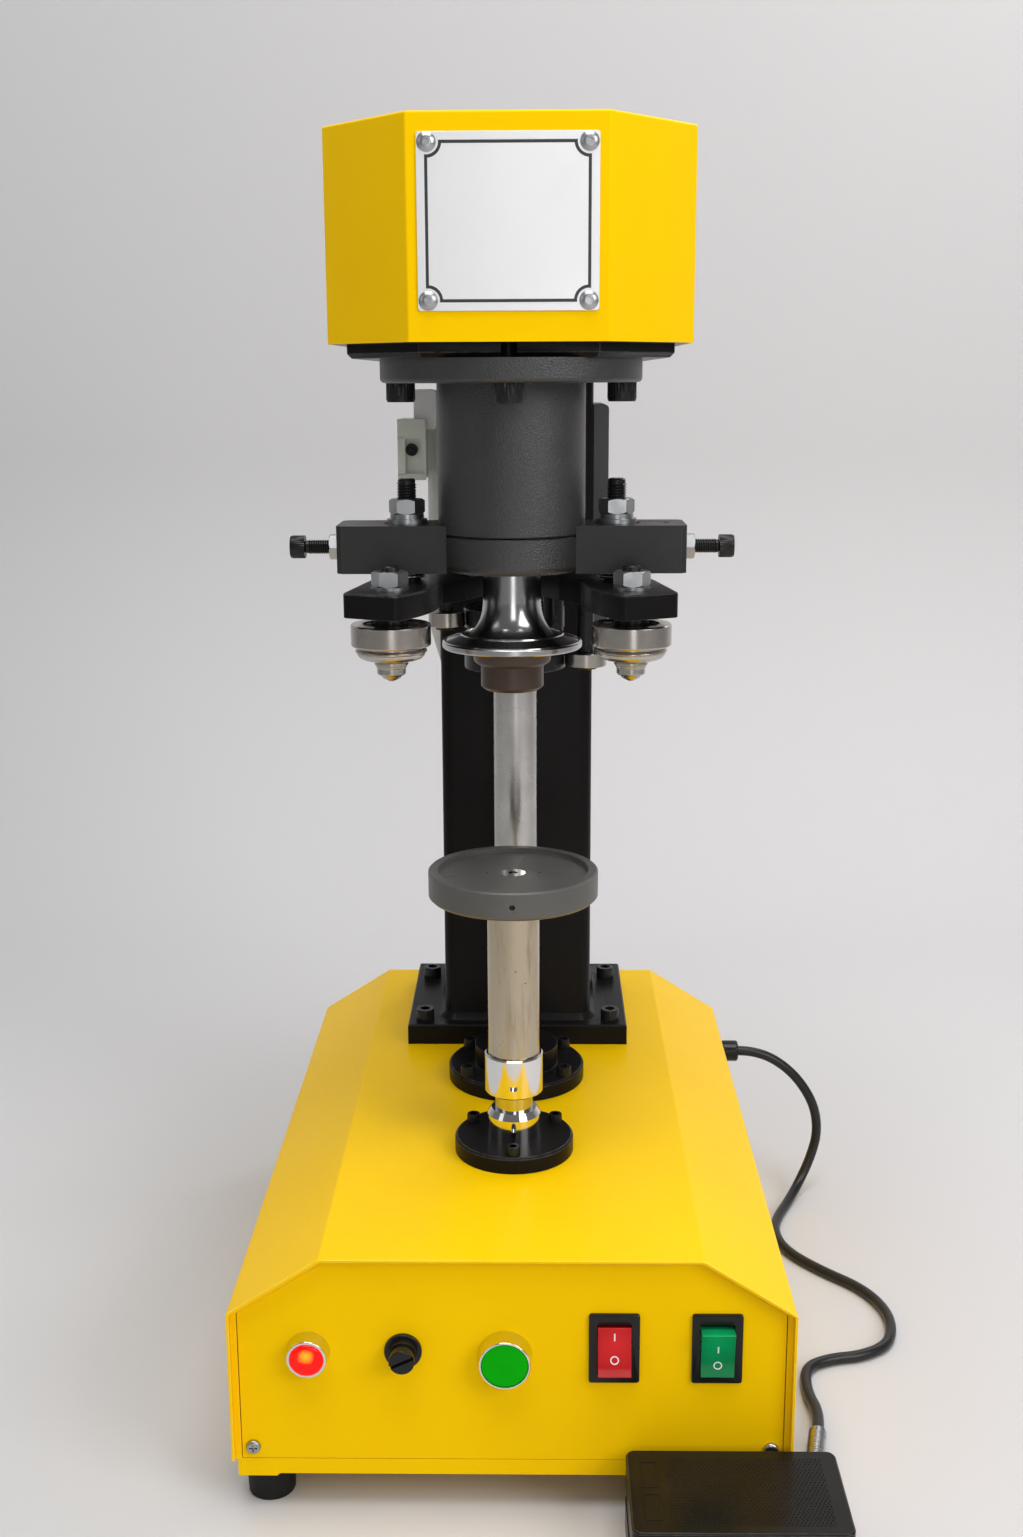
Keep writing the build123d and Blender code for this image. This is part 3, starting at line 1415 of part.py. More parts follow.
# Cord, from its gland down to the floor and round to the pedal, as straight runs and arcs
cord_points = [
    (base_width / 2 + gland_length, gland_y, gland_z),
    (178, 247, 111),
    (202, 247, 96),
    (219, 247, 72),
    (224, 247, 48),
    (219, 246, 26),
    (209, 237, 9),
    (199, 219, 3.6),
    (189, 195, 3.6),
    (184.5, 168, 3.6),
    (190, 140, 3.6),
    (205, 113, 3.6),
    (227, 86, 3.6),
    (237, 58, 3.6),
    (232, 33, 3.6),
    (217, 18.5, 3.6),
    (197, 13, 3.6),
    (184, 1, 3.6),
    (179.5, -22, 3.6),
    (178.6, -48.5, 7.2),
    (174.3, -68, 8.4),
]


def arc_radii(points):
    # Each arc takes 0.45 of the shorter run at its corner
    corners = [Vector(*p) for p in points]
    radii = []
    for before, corner, after in zip(corners, corners[1:], corners[2:]):
        arriving = corner - before
        leaving = after - corner
        turn = math.radians(arriving.get_angle(leaving))
        radii.append(0.45 * min(arriving.length, leaving.length) / math.tan(turn / 2))
    return radii


cord_radii = arc_radii(cord_points)
with BuildPart() as pedal_cord:
    with BuildLine() as route:
        FilletPolyline(*cord_points, radius=cord_radii)
    with BuildSketch(Plane(route.line @ 0, z_dir=route.line % 0)):
        Circle(cord_r)
    sweep(path=route.line)
save(pedal_cord, "pedal_cord")
print("cord arcs", [round(r, 1) for r in cord_radii])
cord_length = sum(edge.length for edge in route.edges())
print("cord volume", round(pedal_cord.part.volume), round(math.pi * cord_r**2 * cord_length))

# Spring that guards the cord where it enters the pedal
cord_spring_r = 4.8
spring_seat = 4.0
spring_end = Vector(*cord_points[-1])
spring_way = (spring_end - Vector(*cord_points[-2])).normalized()
spring_length = (pedal_back - spring_seat - spring_end.Y) / spring_way.Y
spring_place = Plane(spring_end, z_dir=spring_way)
with BuildPart() as cord_spring:
    with BuildSketch(spring_place):
        Circle(cord_spring_r)
    extrude(amount=spring_length)
save(cord_spring, "cord_spring")

# Foot pedal: a base with an upstand, and a treadle hinged on a pin at the back
pedal_front = pedal_back - pedal_depth
pedal_y = (pedal_back + pedal_front) / 2
pedal_plinth = 17.0
upstand_top = 30.0
upstand_wall = 3.0
treadle_wall = 2.5
treadle_gap = 1.2
skirt_z = pedal_top - pedal_skirt
pin_r = 2.0
pin_y = pedal_back - 7.5
pedal_corner = 5.0
upstand_inset = treadle_wall + treadle_gap
with BuildPart() as pedal_base:
    with BuildSketch():
        with Locations((pedal_x, pedal_y)):
            RectangleRounded(pedal_width, pedal_depth, pedal_corner)
    extrude(amount=pedal_plinth)
    chamfer(pedal_base.edges().group_by(Axis.Z)[-1], 1.0)
    with BuildSketch():
        with Locations((pedal_x, pedal_y)):
            RectangleRounded(
                pedal_width - 2 * upstand_inset, pedal_depth - 2 * upstand_inset, 2.5
            )
    extrude(amount=upstand_top)
    with BuildSketch(Plane.XY.offset(upstand_wall)):
        with Locations((pedal_x, pedal_y)):
            Rectangle(
                pedal_width - 2 * upstand_inset - 2 * upstand_wall,
                pedal_depth - 2 * upstand_inset - 2 * upstand_wall,
            )
    extrude(amount=upstand_top, mode=Mode.SUBTRACT)
    ear_x = pedal_width / 2 - upstand_inset
    for side in (-1, 1):
        with BuildSketch(Plane.YZ.offset(pedal_x + side * ear_x)):
            with Locations((pin_y, upstand_top)):
                SlotOverall(12, 8, rotation=90)
        extrude(amount=-side * upstand_wall)
    with Locations(Location((pedal_x, pin_y, pedal_pin_z), (0, 90, 0))):
        Cylinder(pin_r, pedal_width - 1.0)
    with BuildSketch(spring_place):
        Circle(cord_spring_r + seat_gap)
    extrude(amount=spring_length, mode=Mode.SUBTRACT)
save(pedal_base, "pedal_base")

with BuildPart() as pedal_plate:
    with BuildSketch(Plane.XY.offset(skirt_z)):
        with Locations((pedal_x, pedal_y)):
            RectangleRounded(pedal_width, pedal_depth, pedal_corner)
    extrude(amount=pedal_skirt)
    chamfer(pedal_plate.edges().group_by(Axis.Z)[-1], 0.8)
    with BuildSketch(Plane.XY.offset(skirt_z)):
        with Locations((pedal_x, pedal_y)):
            RectangleRounded(
                pedal_width - 2 * treadle_wall, pedal_depth - 2 * treadle_wall, 3.0
            )
    extrude(amount=pedal_skirt - pedal_plate_t, mode=Mode.SUBTRACT)
    with Locations(Location((pedal_x, pin_y, pedal_pin_z), (0, 90, 0))):
        Cylinder(pin_r + running, 2 * pedal_width, mode=Mode.SUBTRACT)
save(pedal_plate, "pedal_plate")
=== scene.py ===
import math

import bmesh
import bpy
from mathutils import Matrix, Vector


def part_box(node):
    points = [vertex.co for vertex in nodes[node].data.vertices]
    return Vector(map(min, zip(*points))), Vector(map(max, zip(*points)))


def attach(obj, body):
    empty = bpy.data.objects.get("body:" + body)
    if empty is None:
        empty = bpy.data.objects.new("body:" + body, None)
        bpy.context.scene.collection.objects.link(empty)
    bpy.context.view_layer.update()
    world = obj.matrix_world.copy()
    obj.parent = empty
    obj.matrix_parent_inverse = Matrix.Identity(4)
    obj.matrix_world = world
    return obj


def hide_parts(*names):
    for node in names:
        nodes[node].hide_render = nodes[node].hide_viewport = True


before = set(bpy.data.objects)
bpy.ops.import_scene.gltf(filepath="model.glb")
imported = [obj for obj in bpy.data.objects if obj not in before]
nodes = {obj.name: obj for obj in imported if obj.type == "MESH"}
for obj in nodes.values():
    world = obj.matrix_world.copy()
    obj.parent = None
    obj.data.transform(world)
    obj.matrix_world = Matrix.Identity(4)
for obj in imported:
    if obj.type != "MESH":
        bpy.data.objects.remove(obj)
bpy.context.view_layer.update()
mm = 0.001  # sizes below are in millimetres, meshes in metres
mergeGap = 0.000002  # corners of a CAD mesh closer than this are one, in metres
seamGap = 0.0005  # and those of a shape made here, in millimetres
flatAngle = math.radians(1.0)  # faces of a CAD mesh that bend less than this are joined
crispAngle = math.radians(32)  # edges that bend more than this stay sharp or are softened
print("frame:", len(nodes), "nodes")


def addObject(name, data):
    item = bpy.data.objects.new(name, data)
    bpy.context.scene.collection.objects.link(item)
    return item


# Camera, where the photograph was taken from
camera = {
    "place": (14.05, -924.2, 598.9), "down": 13.118, "turn": 0.913, "roll": -0.241,
    "lens": 39.445, "sensor": 36, "near": 0.02, "far": 30,
}


def addCamera(view):
    data = bpy.data.cameras.new("camera")
    data.lens = view["lens"]
    data.sensor_width = view["sensor"]
    data.clip_start = view["near"]
    data.clip_end = view["far"]
    item = addObject("camera", data)
    aim = Matrix.Rotation(math.radians(view["turn"]), 4, "Z")
    aim = aim @ Matrix.Rotation(math.radians(90 - view["down"]), 4, "X")
    aim = aim @ Matrix.Rotation(math.radians(view["roll"]), 4, "Z")
    item.matrix_world = Matrix.Translation(Vector(view["place"]) * mm) @ aim
    bpy.context.scene.camera = item


addCamera(camera)
bpy.context.scene.view_settings.view_transform = "Standard"
print("camera set")


# Shader nodes
def feed(tree, socket, value):
    # Links the output of another node, or sets a number or a colour
    if isinstance(value, bpy.types.NodeSocket):
        tree.links.new(value, socket)
    else:
        socket.default_value = (*value, 1) if isinstance(value, tuple) else value


def mathNode(tree, kind, *values):
    node = tree.nodes.new("ShaderNodeMath")
    node.operation = kind
    for socket, value in zip(node.inputs, values):
        feed(tree, socket, value)
    return node.outputs[0]


def times(tree, first, second):
    return mathNode(tree, "MULTIPLY", first, second)


def rangeNode(tree, value, low, high, toLow=0.0, toHigh=1.0):
    node = tree.nodes.new("ShaderNodeMapRange")
    given = {"Value": value, "From Min": low, "From Max": high, "To Min": toLow, "To Max": toHigh}
    for key, number in given.items():
        feed(tree, node.inputs[key], number)
    return node.outputs["Result"]


def noiseNode(tree, place, scale, detail=3.0, roughness=0.5):
    node = tree.nodes.new("ShaderNodeTexNoise")
    for key, value in {"Vector": place, "Scale": scale, "Detail": detail, "Roughness": roughness}.items():
        feed(tree, node.inputs[key], value)
    return node.outputs[0]


def mixColour(tree, mask, first, second):
    node = tree.nodes.new("ShaderNodeMix")
    node.data_type = "RGBA"
    for key, value in (("Factor", mask), (6, first), (7, second)):
        feed(tree, node.inputs[key], value)
    return node.outputs[2]


def bumpNode(tree, height, strength, distance, before=None):
    node = tree.nodes.new("ShaderNodeBump")
    given = {"Strength": strength, "Distance": distance, "Height": height, "Normal": before}
    for key, value in given.items():
        if value is not None:
            feed(tree, node.inputs[key], value)
    return node.outputs[0]


def objectPlace(tree):
    return tree.nodes.new("ShaderNodeTexCoord").outputs["Object"]


def mappedPlace(tree, stretch, shift=(0, 0, 0)):
    node = tree.nodes.new("ShaderNodeMapping")
    tree.links.new(objectPlace(tree), node.inputs["Vector"])
    node.inputs["Scale"].default_value = stretch
    node.inputs["Location"].default_value = shift
    return node.outputs[0]


def splitVector(tree, vector):
    node = tree.nodes.new("ShaderNodeSeparateXYZ")
    tree.links.new(vector, node.inputs[0])
    return node.outputs


def joinVector(tree, *values):
    node = tree.nodes.new("ShaderNodeCombineXYZ")
    for socket, value in zip(node.inputs, values):
        feed(tree, socket, value)
    return node.outputs[0]


def lengthNode(tree, vector):
    node = tree.nodes.new("ShaderNodeVectorMath")
    node.operation = "LENGTH"
    tree.links.new(vector, node.inputs[0])
    return node.outputs["Value"]


# Node groups shared by the finishes
def newGroup(name, inputs, output, build):
    group = bpy.data.node_groups.new(name, "ShaderNodeTree")
    for key, value in inputs.items():
        socket = group.interface.new_socket(key, in_out="INPUT", socket_type="NodeSocketFloat")
        socket.default_value = value
    group.interface.new_socket(output, in_out="OUTPUT", socket_type="NodeSocketFloat")
    source = group.nodes.new("NodeGroupInput")
    target = group.nodes.new("NodeGroupOutput")
    group.links.new(build(group, source.outputs), target.inputs[output])
    return group


def grainHeight(tree, given):
    # Fine bumps of paint or cast metal, from smooth orange peel to coarse texture
    place = objectPlace(tree)
    fine = noiseNode(tree, place, given["Scale"], 2.0)
    wide = noiseNode(tree, place, times(tree, given["Scale"], 0.31), 1.0)
    return mathNode(tree, "ADD", fine, times(tree, wide, given["Coarse"]))


def wearAndHighlightMask(tree, given):
    # Broken patches on the faces of softened edges: on most finishes rubbed wear, on the yellow powder coat
    # and the pedal a painted highlight along the edge
    broken = noiseNode(tree, objectPlace(tree), 180.0, 4.0, 0.65)
    return times(tree, rangeNode(tree, broken, 0.3, 0.7), given["Amount"])


def dustMask(tree, given):
    # Thin dust on faces that look up, and a little everywhere else
    normal = tree.nodes.new("ShaderNodeNewGeometry").outputs["Normal"]
    up = rangeNode(tree, splitVector(tree, normal)["Z"], 0.2, 1.0, 0.15, 1.0)
    cloud = rangeNode(tree, noiseNode(tree, objectPlace(tree), 60.0, 5.0, 0.6), 0.4, 0.75)
    speck = rangeNode(tree, noiseNode(tree, objectPlace(tree), 2600.0, 1.0), 0.68, 0.74)
    lying = times(tree, up, mathNode(tree, "ADD", cloud, times(tree, speck, 0.8)))
    return times(tree, lying, given["Amount"])


def turningHeight(tree, given):
    # Tool lines round an upright axis at x = 0: rings along it and rings on its end faces
    x, y, z = splitVector(tree, objectPlace(tree))
    y = mathNode(tree, "SUBTRACT", y, given["CentreY"])
    radius = mathNode(tree, "SQRT", mathNode(tree, "ADD", times(tree, x, x), times(tree, y, y)))
    return noiseNode(tree, joinVector(tree, radius, 0.0, z), given["Lines"], 2.0, 0.7)


def scratchMask(tree, given):
    # Long fine scratches that run along one direction
    scales = (given["Fine"], given["Fine"], given["Long"])
    place = splitVector(tree, objectPlace(tree))
    scaled = [times(tree, axis, scale) for axis, scale in zip(place, scales)]
    return noiseNode(tree, joinVector(tree, *scaled), 1.0, 3.0, 0.6)


groups = {
    "grain": newGroup("grain", {"Scale": 900.0, "Coarse": 0.3}, "Height", grainHeight),
    "wearAndHighlight": newGroup("edgeWearAndHighlight", {"Amount": 0.3}, "Mask", wearAndHighlightMask),
    "dust": newGroup("dust", {"Amount": 0.1}, "Mask", dustMask),
    "turning": newGroup("turning", {"CentreY": 0.0, "Lines": 9000.0}, "Height", turningHeight),
    "scratches": newGroup("scratches", {"Fine": 1600.0, "Long": 30.0}, "Mask", scratchMask),
}


def placeGroup(tree, name, values):
    node = tree.nodes.new("ShaderNodeGroup")
    node.node_tree = groups[name]
    for key, value in values.items():
        node.inputs[key].default_value = value
    return node.outputs[0]


def startMaterial(name, constants):
    material = bpy.data.materials.new(name)
    material.use_nodes = True
    shader = material.node_tree.nodes["Principled BSDF"]
    for key, value in constants.items():
        shader.inputs[key].default_value = value
    return material, material.node_tree, shader


# Depths of tool lines and scratches in metres, and how much dust and stains dull a finish
relief = {"lines": 0.00005, "scratches": 0.00004, "dustDulls": 0.4, "stainDulls": 0.25}


def makeFinish(name, look):
    # One finish: cloudy colour, roughness spread, grain, tool lines, scratches, edge wear and painted edge
    # highlights, dust and stains
    constants = {"Metallic": look.get("metal", 0.0), "Specular IOR Level": look.get("specular", 0.5)}
    if "tint" in look:
        constants["Specular Tint"] = (*look["tint"], 1)
    material, tree, shader = startMaterial(name, constants)
    place = mappedPlace(tree, look.get("stretch", (1, 1, 1)))
    cloud = noiseNode(tree, place, look["cloud"], 4.0, 0.55)
    colour = mixColour(tree, rangeNode(tree, cloud, 0.32, 0.68), look["colour"], look["second"])
    roughness = rangeNode(tree, cloud, 0.3, 0.7, *look["rough"])
    normal = None
    if "grain" in look:
        scale, coarse, strength, distance = look["grain"]
        height = placeGroup(tree, "grain", {"Scale": scale, "Coarse": coarse})
        normal = bumpNode(tree, height, strength, distance)
    if "turning" in look:
        lines, strength, centreY = look["turning"]
        height = placeGroup(tree, "turning", {"Lines": lines, "CentreY": centreY * mm})
        normal = bumpNode(tree, height, strength, relief["lines"], normal)
    if "scratches" in look:
        fine, long, strength = look["scratches"]
        mask = placeGroup(tree, "scratches", {"Fine": fine, "Long": long})
        normal = bumpNode(tree, mask, strength, relief["scratches"], normal)
    # Edge colour on softened edges: rubbed wear, and on the yellow powder coat and the pedal a painted
    # highlight
    if "wearAndHighlight" in look:
        amount, wornAndLitColour = look["wearAndHighlight"]
        colour = mixColour(tree, placeGroup(tree, "wearAndHighlight", {"Amount": amount}), colour, wornAndLitColour)
    if "dust" in look:
        mask = placeGroup(tree, "dust", {"Amount": look["dust"]})
        colour = mixColour(tree, mask, colour, look.get("dustColour", (0.42, 0.40, 0.37)))
        roughness = mathNode(tree, "ADD", roughness, times(tree, mask, relief["dustDulls"]))
    if "stains" in look:
        amount, stain = look["stains"]
        streaks = noiseNode(tree, mappedPlace(tree, (1.0, 1.0, 0.12)), 150.0, 5.0, 0.65)
        spots = noiseNode(tree, objectPlace(tree), 420.0, 2.0, 0.4)
        both = (rangeNode(tree, streaks, 0.5, 0.78), rangeNode(tree, spots, 0.72, 0.76))
        mask = times(tree, mathNode(tree, "MAXIMUM", *both), amount)
        colour = mixColour(tree, mask, colour, stain)
        roughness = mathNode(tree, "ADD", roughness, times(tree, mask, relief["stainDulls"]))
    for key, value in {"Base Color": colour, "Roughness": roughness, "Normal": normal}.items():
        if value is not None:
            tree.links.new(value, shader.inputs[key])
    return material


def makeClearPlastic(name, look):
    # Coloured plastic, paler round a core point and darker towards its rim, with an emission glow. On the lit
    # lens the glow is its lamp; on the rockers and the switch it is painted glow, painted light for light
    # scattered in the plastic
    constants = {
        "Coat Weight": look["coat"], "Coat Roughness": 0.05,
        "Specular IOR Level": 0.2, "Emission Strength": look["glow"],
    }
    material, tree, shader = startMaterial(name, constants)
    swirl = noiseNode(tree, objectPlace(tree), look["swirl"], 3.0)
    ball = lengthNode(tree, mappedPlace(tree, look["stretch"], look["shift"]))
    reach = mathNode(tree, "ADD", ball, times(tree, swirl, 0.35))
    colour = mixColour(tree, rangeNode(tree, reach, look["from"], look["to"]), look["core"], look["rim"])
    tree.links.new(colour, shader.inputs["Base Color"])
    tree.links.new(colour, shader.inputs["Emission Color"])
    tree.links.new(rangeNode(tree, swirl, 0.3, 0.7, 0.14, 0.24), shader.inputs["Roughness"])
    return material


# Finishes: base colour and its cloudy second colour, roughness range, and what lies over them
looks = {
    "yellowPowderCoat": {
        "colour": (0.98, 0.6, 0.0015), "second": (0.955, 0.575, 0.0015), "cloud": 9,
        "rough": (0.32, 0.37), "specular": 0.09, "tint": (1, 0.72, 0.08),
        "grain": (520, 0.5, 0.04, 0.0002), "dust": 0.008,
        "dustColour": (0.75, 0.55, 0.12),
    },
    "blackPaint": {
        "colour": (0.007, 0.0063, 0.0063), "second": (0.009, 0.0082, 0.008), "cloud": 14,
        "rough": (0.28, 0.34), "grain": (700, 0.4, 0.06, 0.0002), "dust": 0.004, "specular": 0.09,
    },
    "texturedBlack": {
        "colour": (0.017, 0.0158, 0.0158), "second": (0.021, 0.0196, 0.0196), "cloud": 26,
        "rough": (0.38, 0.44), "grain": (1150, 0.35, 0.62, 0.0006), "dust": 0.008, "specular": 0.8,
    },
    "blackenedSteel": {
        "colour": (0.019, 0.018, 0.0178), "second": (0.025, 0.024, 0.0236), "cloud": 30, "specular": 0.3,
        "rough": (0.36, 0.44), "grain": (1500, 0.2, 0.25, 0.0003),
        "scratches": (900, 900, 0.03), "dust": 0.02, "dustColour": (0.3, 0.29, 0.28),
    },
    "blackOxide": {
        "colour": (0.009, 0.009, 0.009), "second": (0.013, 0.0125, 0.012), "cloud": 120,
        "rough": (0.24, 0.32), "grain": (2200, 0.2, 0.1, 0.0002), "specular": 0.3,
    },
    "zincPlate": {
        "colour": (0.45, 0.46, 0.47), "second": (0.39, 0.4, 0.41), "cloud": 120, "metal": 1,
        "rough": (0.3, 0.38), "grain": (1300, 0.3, 0.06, 0.0002),
    },
    "chromePlate": {
        "colour": (0.78, 0.77, 0.75), "second": (0.75, 0.74, 0.72), "cloud": 60, "metal": 1,
        "rough": (0.07, 0.11), "grain": (600, 0.5, 0.015, 0.0002),
    },
    "polishedSteel": {
        "colour": (0.58, 0.57, 0.555), "second": (0.53, 0.52, 0.505), "cloud": 50, "metal": 1,
        "rough": (0.12, 0.16), "turning": (5200, 0.015, 0),
    },
    "turnedChuck": {
        "colour": (0.56, 0.555, 0.55), "second": (0.5, 0.495, 0.49), "cloud": 50, "metal": 1,
        "rough": (0.17, 0.23), "turning": (5200, 0.06, 0),
    },
    "groundShaft": {
        "colour": (0.56, 0.545, 0.52), "second": (0.46, 0.445, 0.42), "cloud": 35, "metal": 1,
        "rough": (0.24, 0.32), "turning": (3600, 0.1, 108),
        "scratches": (1500, 24, 0.08),
    },
    "turnedRoller": {
        "colour": (0.52, 0.485, 0.44), "second": (0.45, 0.42, 0.38), "cloud": 70, "metal": 1,
        "rough": (0.18, 0.25), "grain": (2600, 0.3, 0.04, 0.0002),
        "stains": (0.2, (0.22, 0.15, 0.09)),
    },
    "stainedTube": {
        "colour": (0.52, 0.44, 0.32), "second": (0.44, 0.37, 0.26), "cloud": 26, "metal": 1,
        "stretch": (1, 1, 0.25), "rough": (0.15, 0.21), "turning": (4200, 0.025, 0),
        "stains": (0.55, (0.16, 0.09, 0.04)),
    },
    "quenchedNose": {
        "colour": (0.062, 0.04, 0.028), "second": (0.078, 0.05, 0.036), "cloud": 50, "metal": 0.4,
        "rough": (0.34, 0.42), "turning": (4200, 0.12, 0),
    },
    "darkTray": {
        "colour": (0.098, 0.094, 0.087), "second": (0.11, 0.106, 0.098), "cloud": 40, "metal": 0.2,
        "rough": (0.38, 0.46), "grain": (1400, 0.4, 0.08, 0.0002), "turning": (2600, 0.08, 0),
        "dust": 0.012, "dustColour": (0.25, 0.25, 0.24),
    },
    "brushedPlate": {
        "colour": (0.77, 0.77, 0.775), "second": (0.72, 0.72, 0.73), "cloud": 12, "metal": 0.25,
        "rough": (0.28, 0.33), "scratches": (1800, 40, 0.02),
    },
    "darkInk": {
        "colour": (0.02, 0.02, 0.022), "second": (0.03, 0.03, 0.032), "cloud": 90,
        "rough": (0.35, 0.45), "grain": (1800, 0.3, 0.05, 0.0001),
    },
    "mouldedRubber": {
        "colour": (0.009, 0.009, 0.0085), "second": (0.012, 0.0116, 0.011), "cloud": 60, "specular": 0.2,
        "rough": (0.5, 0.58), "grain": (1200, 0.4, 0.14, 0.0003), "dust": 0.03,
    },
    "cordJacket": {
        "colour": (0.009, 0.009, 0.0085), "second": (0.013, 0.0125, 0.012), "cloud": 40, "specular": 0.4,
        "rough": (0.3, 0.38), "grain": (900, 0.4, 0.1, 0.0002), "dust": 0.02,
    },
    "blackPlastic": {
        "colour": (0.0065, 0.0062, 0.006), "second": (0.0095, 0.0092, 0.009), "cloud": 90, "specular": 0.3,
        "rough": (0.2, 0.28), "grain": (1600, 0.3, 0.12, 0.0002), "dust": 0.015,
    },
    "pedalPlastic": {
        "colour": (0.0075, 0.0065, 0.0055), "second": (0.0095, 0.0082, 0.007), "cloud": 30,
        "rough": (0.28, 0.35), "grain": (1500, 0.3, 0.1, 0.0003), "dust": 0.006, "specular": 0.2,
    },
    "lightGreyPaint": {
        "colour": (0.8, 0.8, 0.79), "second": (0.76, 0.76, 0.75), "cloud": 22,
        "rough": (0.38, 0.46), "grain": (900, 0.4, 0.06, 0.0002), "dust": 0.02,
    },
    "darkGreyPaint": {
        "colour": (0.048, 0.048, 0.05), "second": (0.056, 0.056, 0.057), "cloud": 22,
        "rough": (0.36, 0.44), "grain": (1000, 0.4, 0.1, 0.0002), "dust": 0.02,
    },
    "whiteMark": {
        "colour": (0.86, 0.86, 0.84), "second": (0.8, 0.8, 0.78), "cloud": 200,
        "rough": (0.4, 0.5), "grain": (1800, 0.3, 0.05, 0.0001),
    },
    "greenButton": {
        "colour": (0.001, 0.42, 0.002), "second": (0.001, 0.38, 0.002), "cloud": 60, "specular": 0.06,
        "rough": (0.3, 0.38), "grain": (1400, 0.4, 0.06, 0.0002),
    },
    "castGrey": {
        "colour": (0.16, 0.165, 0.17), "second": (0.12, 0.124, 0.13), "cloud": 26,
        "rough": (0.45, 0.55), "grain": (700, 0.5, 0.35, 0.0004), "dust": 0.1,
    },
    "springWire": {
        "colour": (0.62, 0.62, 0.63), "second": (0.48, 0.48, 0.49), "cloud": 200, "metal": 1,
        "rough": (0.2, 0.3), "grain": (2200, 0.3, 0.08, 0.0002),
    },
}

# Finishes as they are on edges: how much of each is changed, and to which colour. The yellow powder coat and
# the pedal plastic get a paler painted highlight along their edges; the other finishes are rubbed there
rubbedAndLitEdges = {
    "yellowPowderCoat": (0.7, (1, 0.86, 0.22)), "blackPaint": (0.55, (0.1, 0.095, 0.09)),
    "blackenedSteel": (0.75, (0.16, 0.155, 0.15)), "darkTray": (0.8, (0.34, 0.335, 0.32)),
    "brushedPlate": (0.9, (0.95, 0.95, 0.95)), "pedalPlastic": (0.9, (0.3, 0.29, 0.28)),
}
clearPlastics = {
    "litLens": {
        "core": (1, 0.42, 0.015), "rim": (0.72, 0.003, 0.001), "glow": 0.6, "coat": 0.12, "swirl": 260,
        "stretch": (130, 40, 130), "shift": (14, 5.6, -12.8), "from": 0.25, "to": 0.8,
    },
    # The rockers are no lamps: their glow is painted light
    "redRockerPlastic": {
        "core": (0.62, 0.009, 0.011), "rim": (0.42, 0.003, 0.003), "glow": 0.06, "coat": 0.15, "swirl": 120,
        "stretch": (60, 20, 60), "shift": (-3.3, 2.6, -6.3), "from": 0.3, "to": 1.1,
    },
    "greenRockerPlastic": {
        "core": (0.004, 0.36, 0.11), "rim": (0.003, 0.2, 0.06), "glow": 0.05, "coat": 0.15, "swirl": 120,
        "stretch": (60, 20, 60), "shift": (-6.5, 2.6, -6.5), "from": 0.3, "to": 1.1,
    },
    # The switch is no lamp: its glow is painted light
    "milkyPlastic": {
        "core": (0.72, 0.74, 0.67), "rim": (0.6, 0.63, 0.55), "glow": 0.02, "coat": 0.2, "swirl": 90,
        "stretch": (20, 20, 20), "shift": (1.3, -3.6, -11), "from": 0.2, "to": 1,
    },
}
finishes = {name: makeFinish(name, look) for name, look in looks.items()}
for name, wearAndHighlight in rubbedAndLitEdges.items():
    finishes[name + "RubbedAndLitEdge"] = makeFinish(name + "RubbedAndLitEdge", {**looks[name], "wearAndHighlight": wearAndHighlight})
for name, look in clearPlastics.items():
    finishes[name] = makeClearPlastic(name, look)
print("finishes:", len(finishes))


# Mesh helpers
def vertsOf(result):
    return [item for item in result["geom"] if isinstance(item, bmesh.types.BMVert)]


def edgesOf(result):
    return [item for item in result["geom"] if isinstance(item, bmesh.types.BMEdge)]


def meshOf(name, shape):
    mesh = bpy.data.meshes.new(name)
    shape.to_mesh(mesh)
    shape.free()
    return mesh


def keepShape(name, shape, finish, body, width=0.3, replaced=(), edge=None):
    # A bmesh in millimetres becomes a finished piece that rides on its body
    bmesh.ops.remove_doubles(shape, verts=shape.verts, dist=seamGap)
    bmesh.ops.recalc_face_normals(shape, faces=shape.faces)
    bmesh.ops.scale(shape, vec=(mm, mm, mm), verts=shape.verts)
    keepMesh(name, meshOf(name, shape), finish, body, width, replaced, edge)


def keepMesh(name, mesh, finish, body, width, replaced, edge=None):
    mesh.materials.clear()
    mesh.materials.append(finishes[finish])
    mesh.shade_smooth()
    mesh.set_sharp_from_angle(angle=crispAngle)
    piece = addObject(name, mesh)
    if width > 0:
        bevel = piece.modifiers.new("soften", "BEVEL")
        bevel.width = width * mm
        bevel.segments = 2
        bevel.limit_method = "ANGLE"
        bevel.angle_limit = crispAngle
        bevel.harden_normals = True
        if edge is not None:
            mesh.materials.append(finishes[edge])
            bevel.material = 1
    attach(piece, body)
    if replaced:
        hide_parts(*replaced)


def copyNode(node):
    # The CAD node's mesh with its doubled corners merged
    shape = bmesh.new()
    shape.from_mesh(nodes[node].data)
    bmesh.ops.remove_doubles(shape, verts=shape.verts, dist=mergeGap)
    return shape


def softCopy(node, finish, body, width, edge):
    # A copy of a CAD node, with its flat faces joined and its edges softened
    shape = copyNode(node)
    bmesh.ops.dissolve_limit(
        shape, angle_limit=flatAngle, verts=shape.verts, edges=shape.edges, use_dissolve_boundaries=False
    )
    keepMesh(node + "Soft", meshOf(node + "Soft", shape), finish, body, width, (node,), edge)


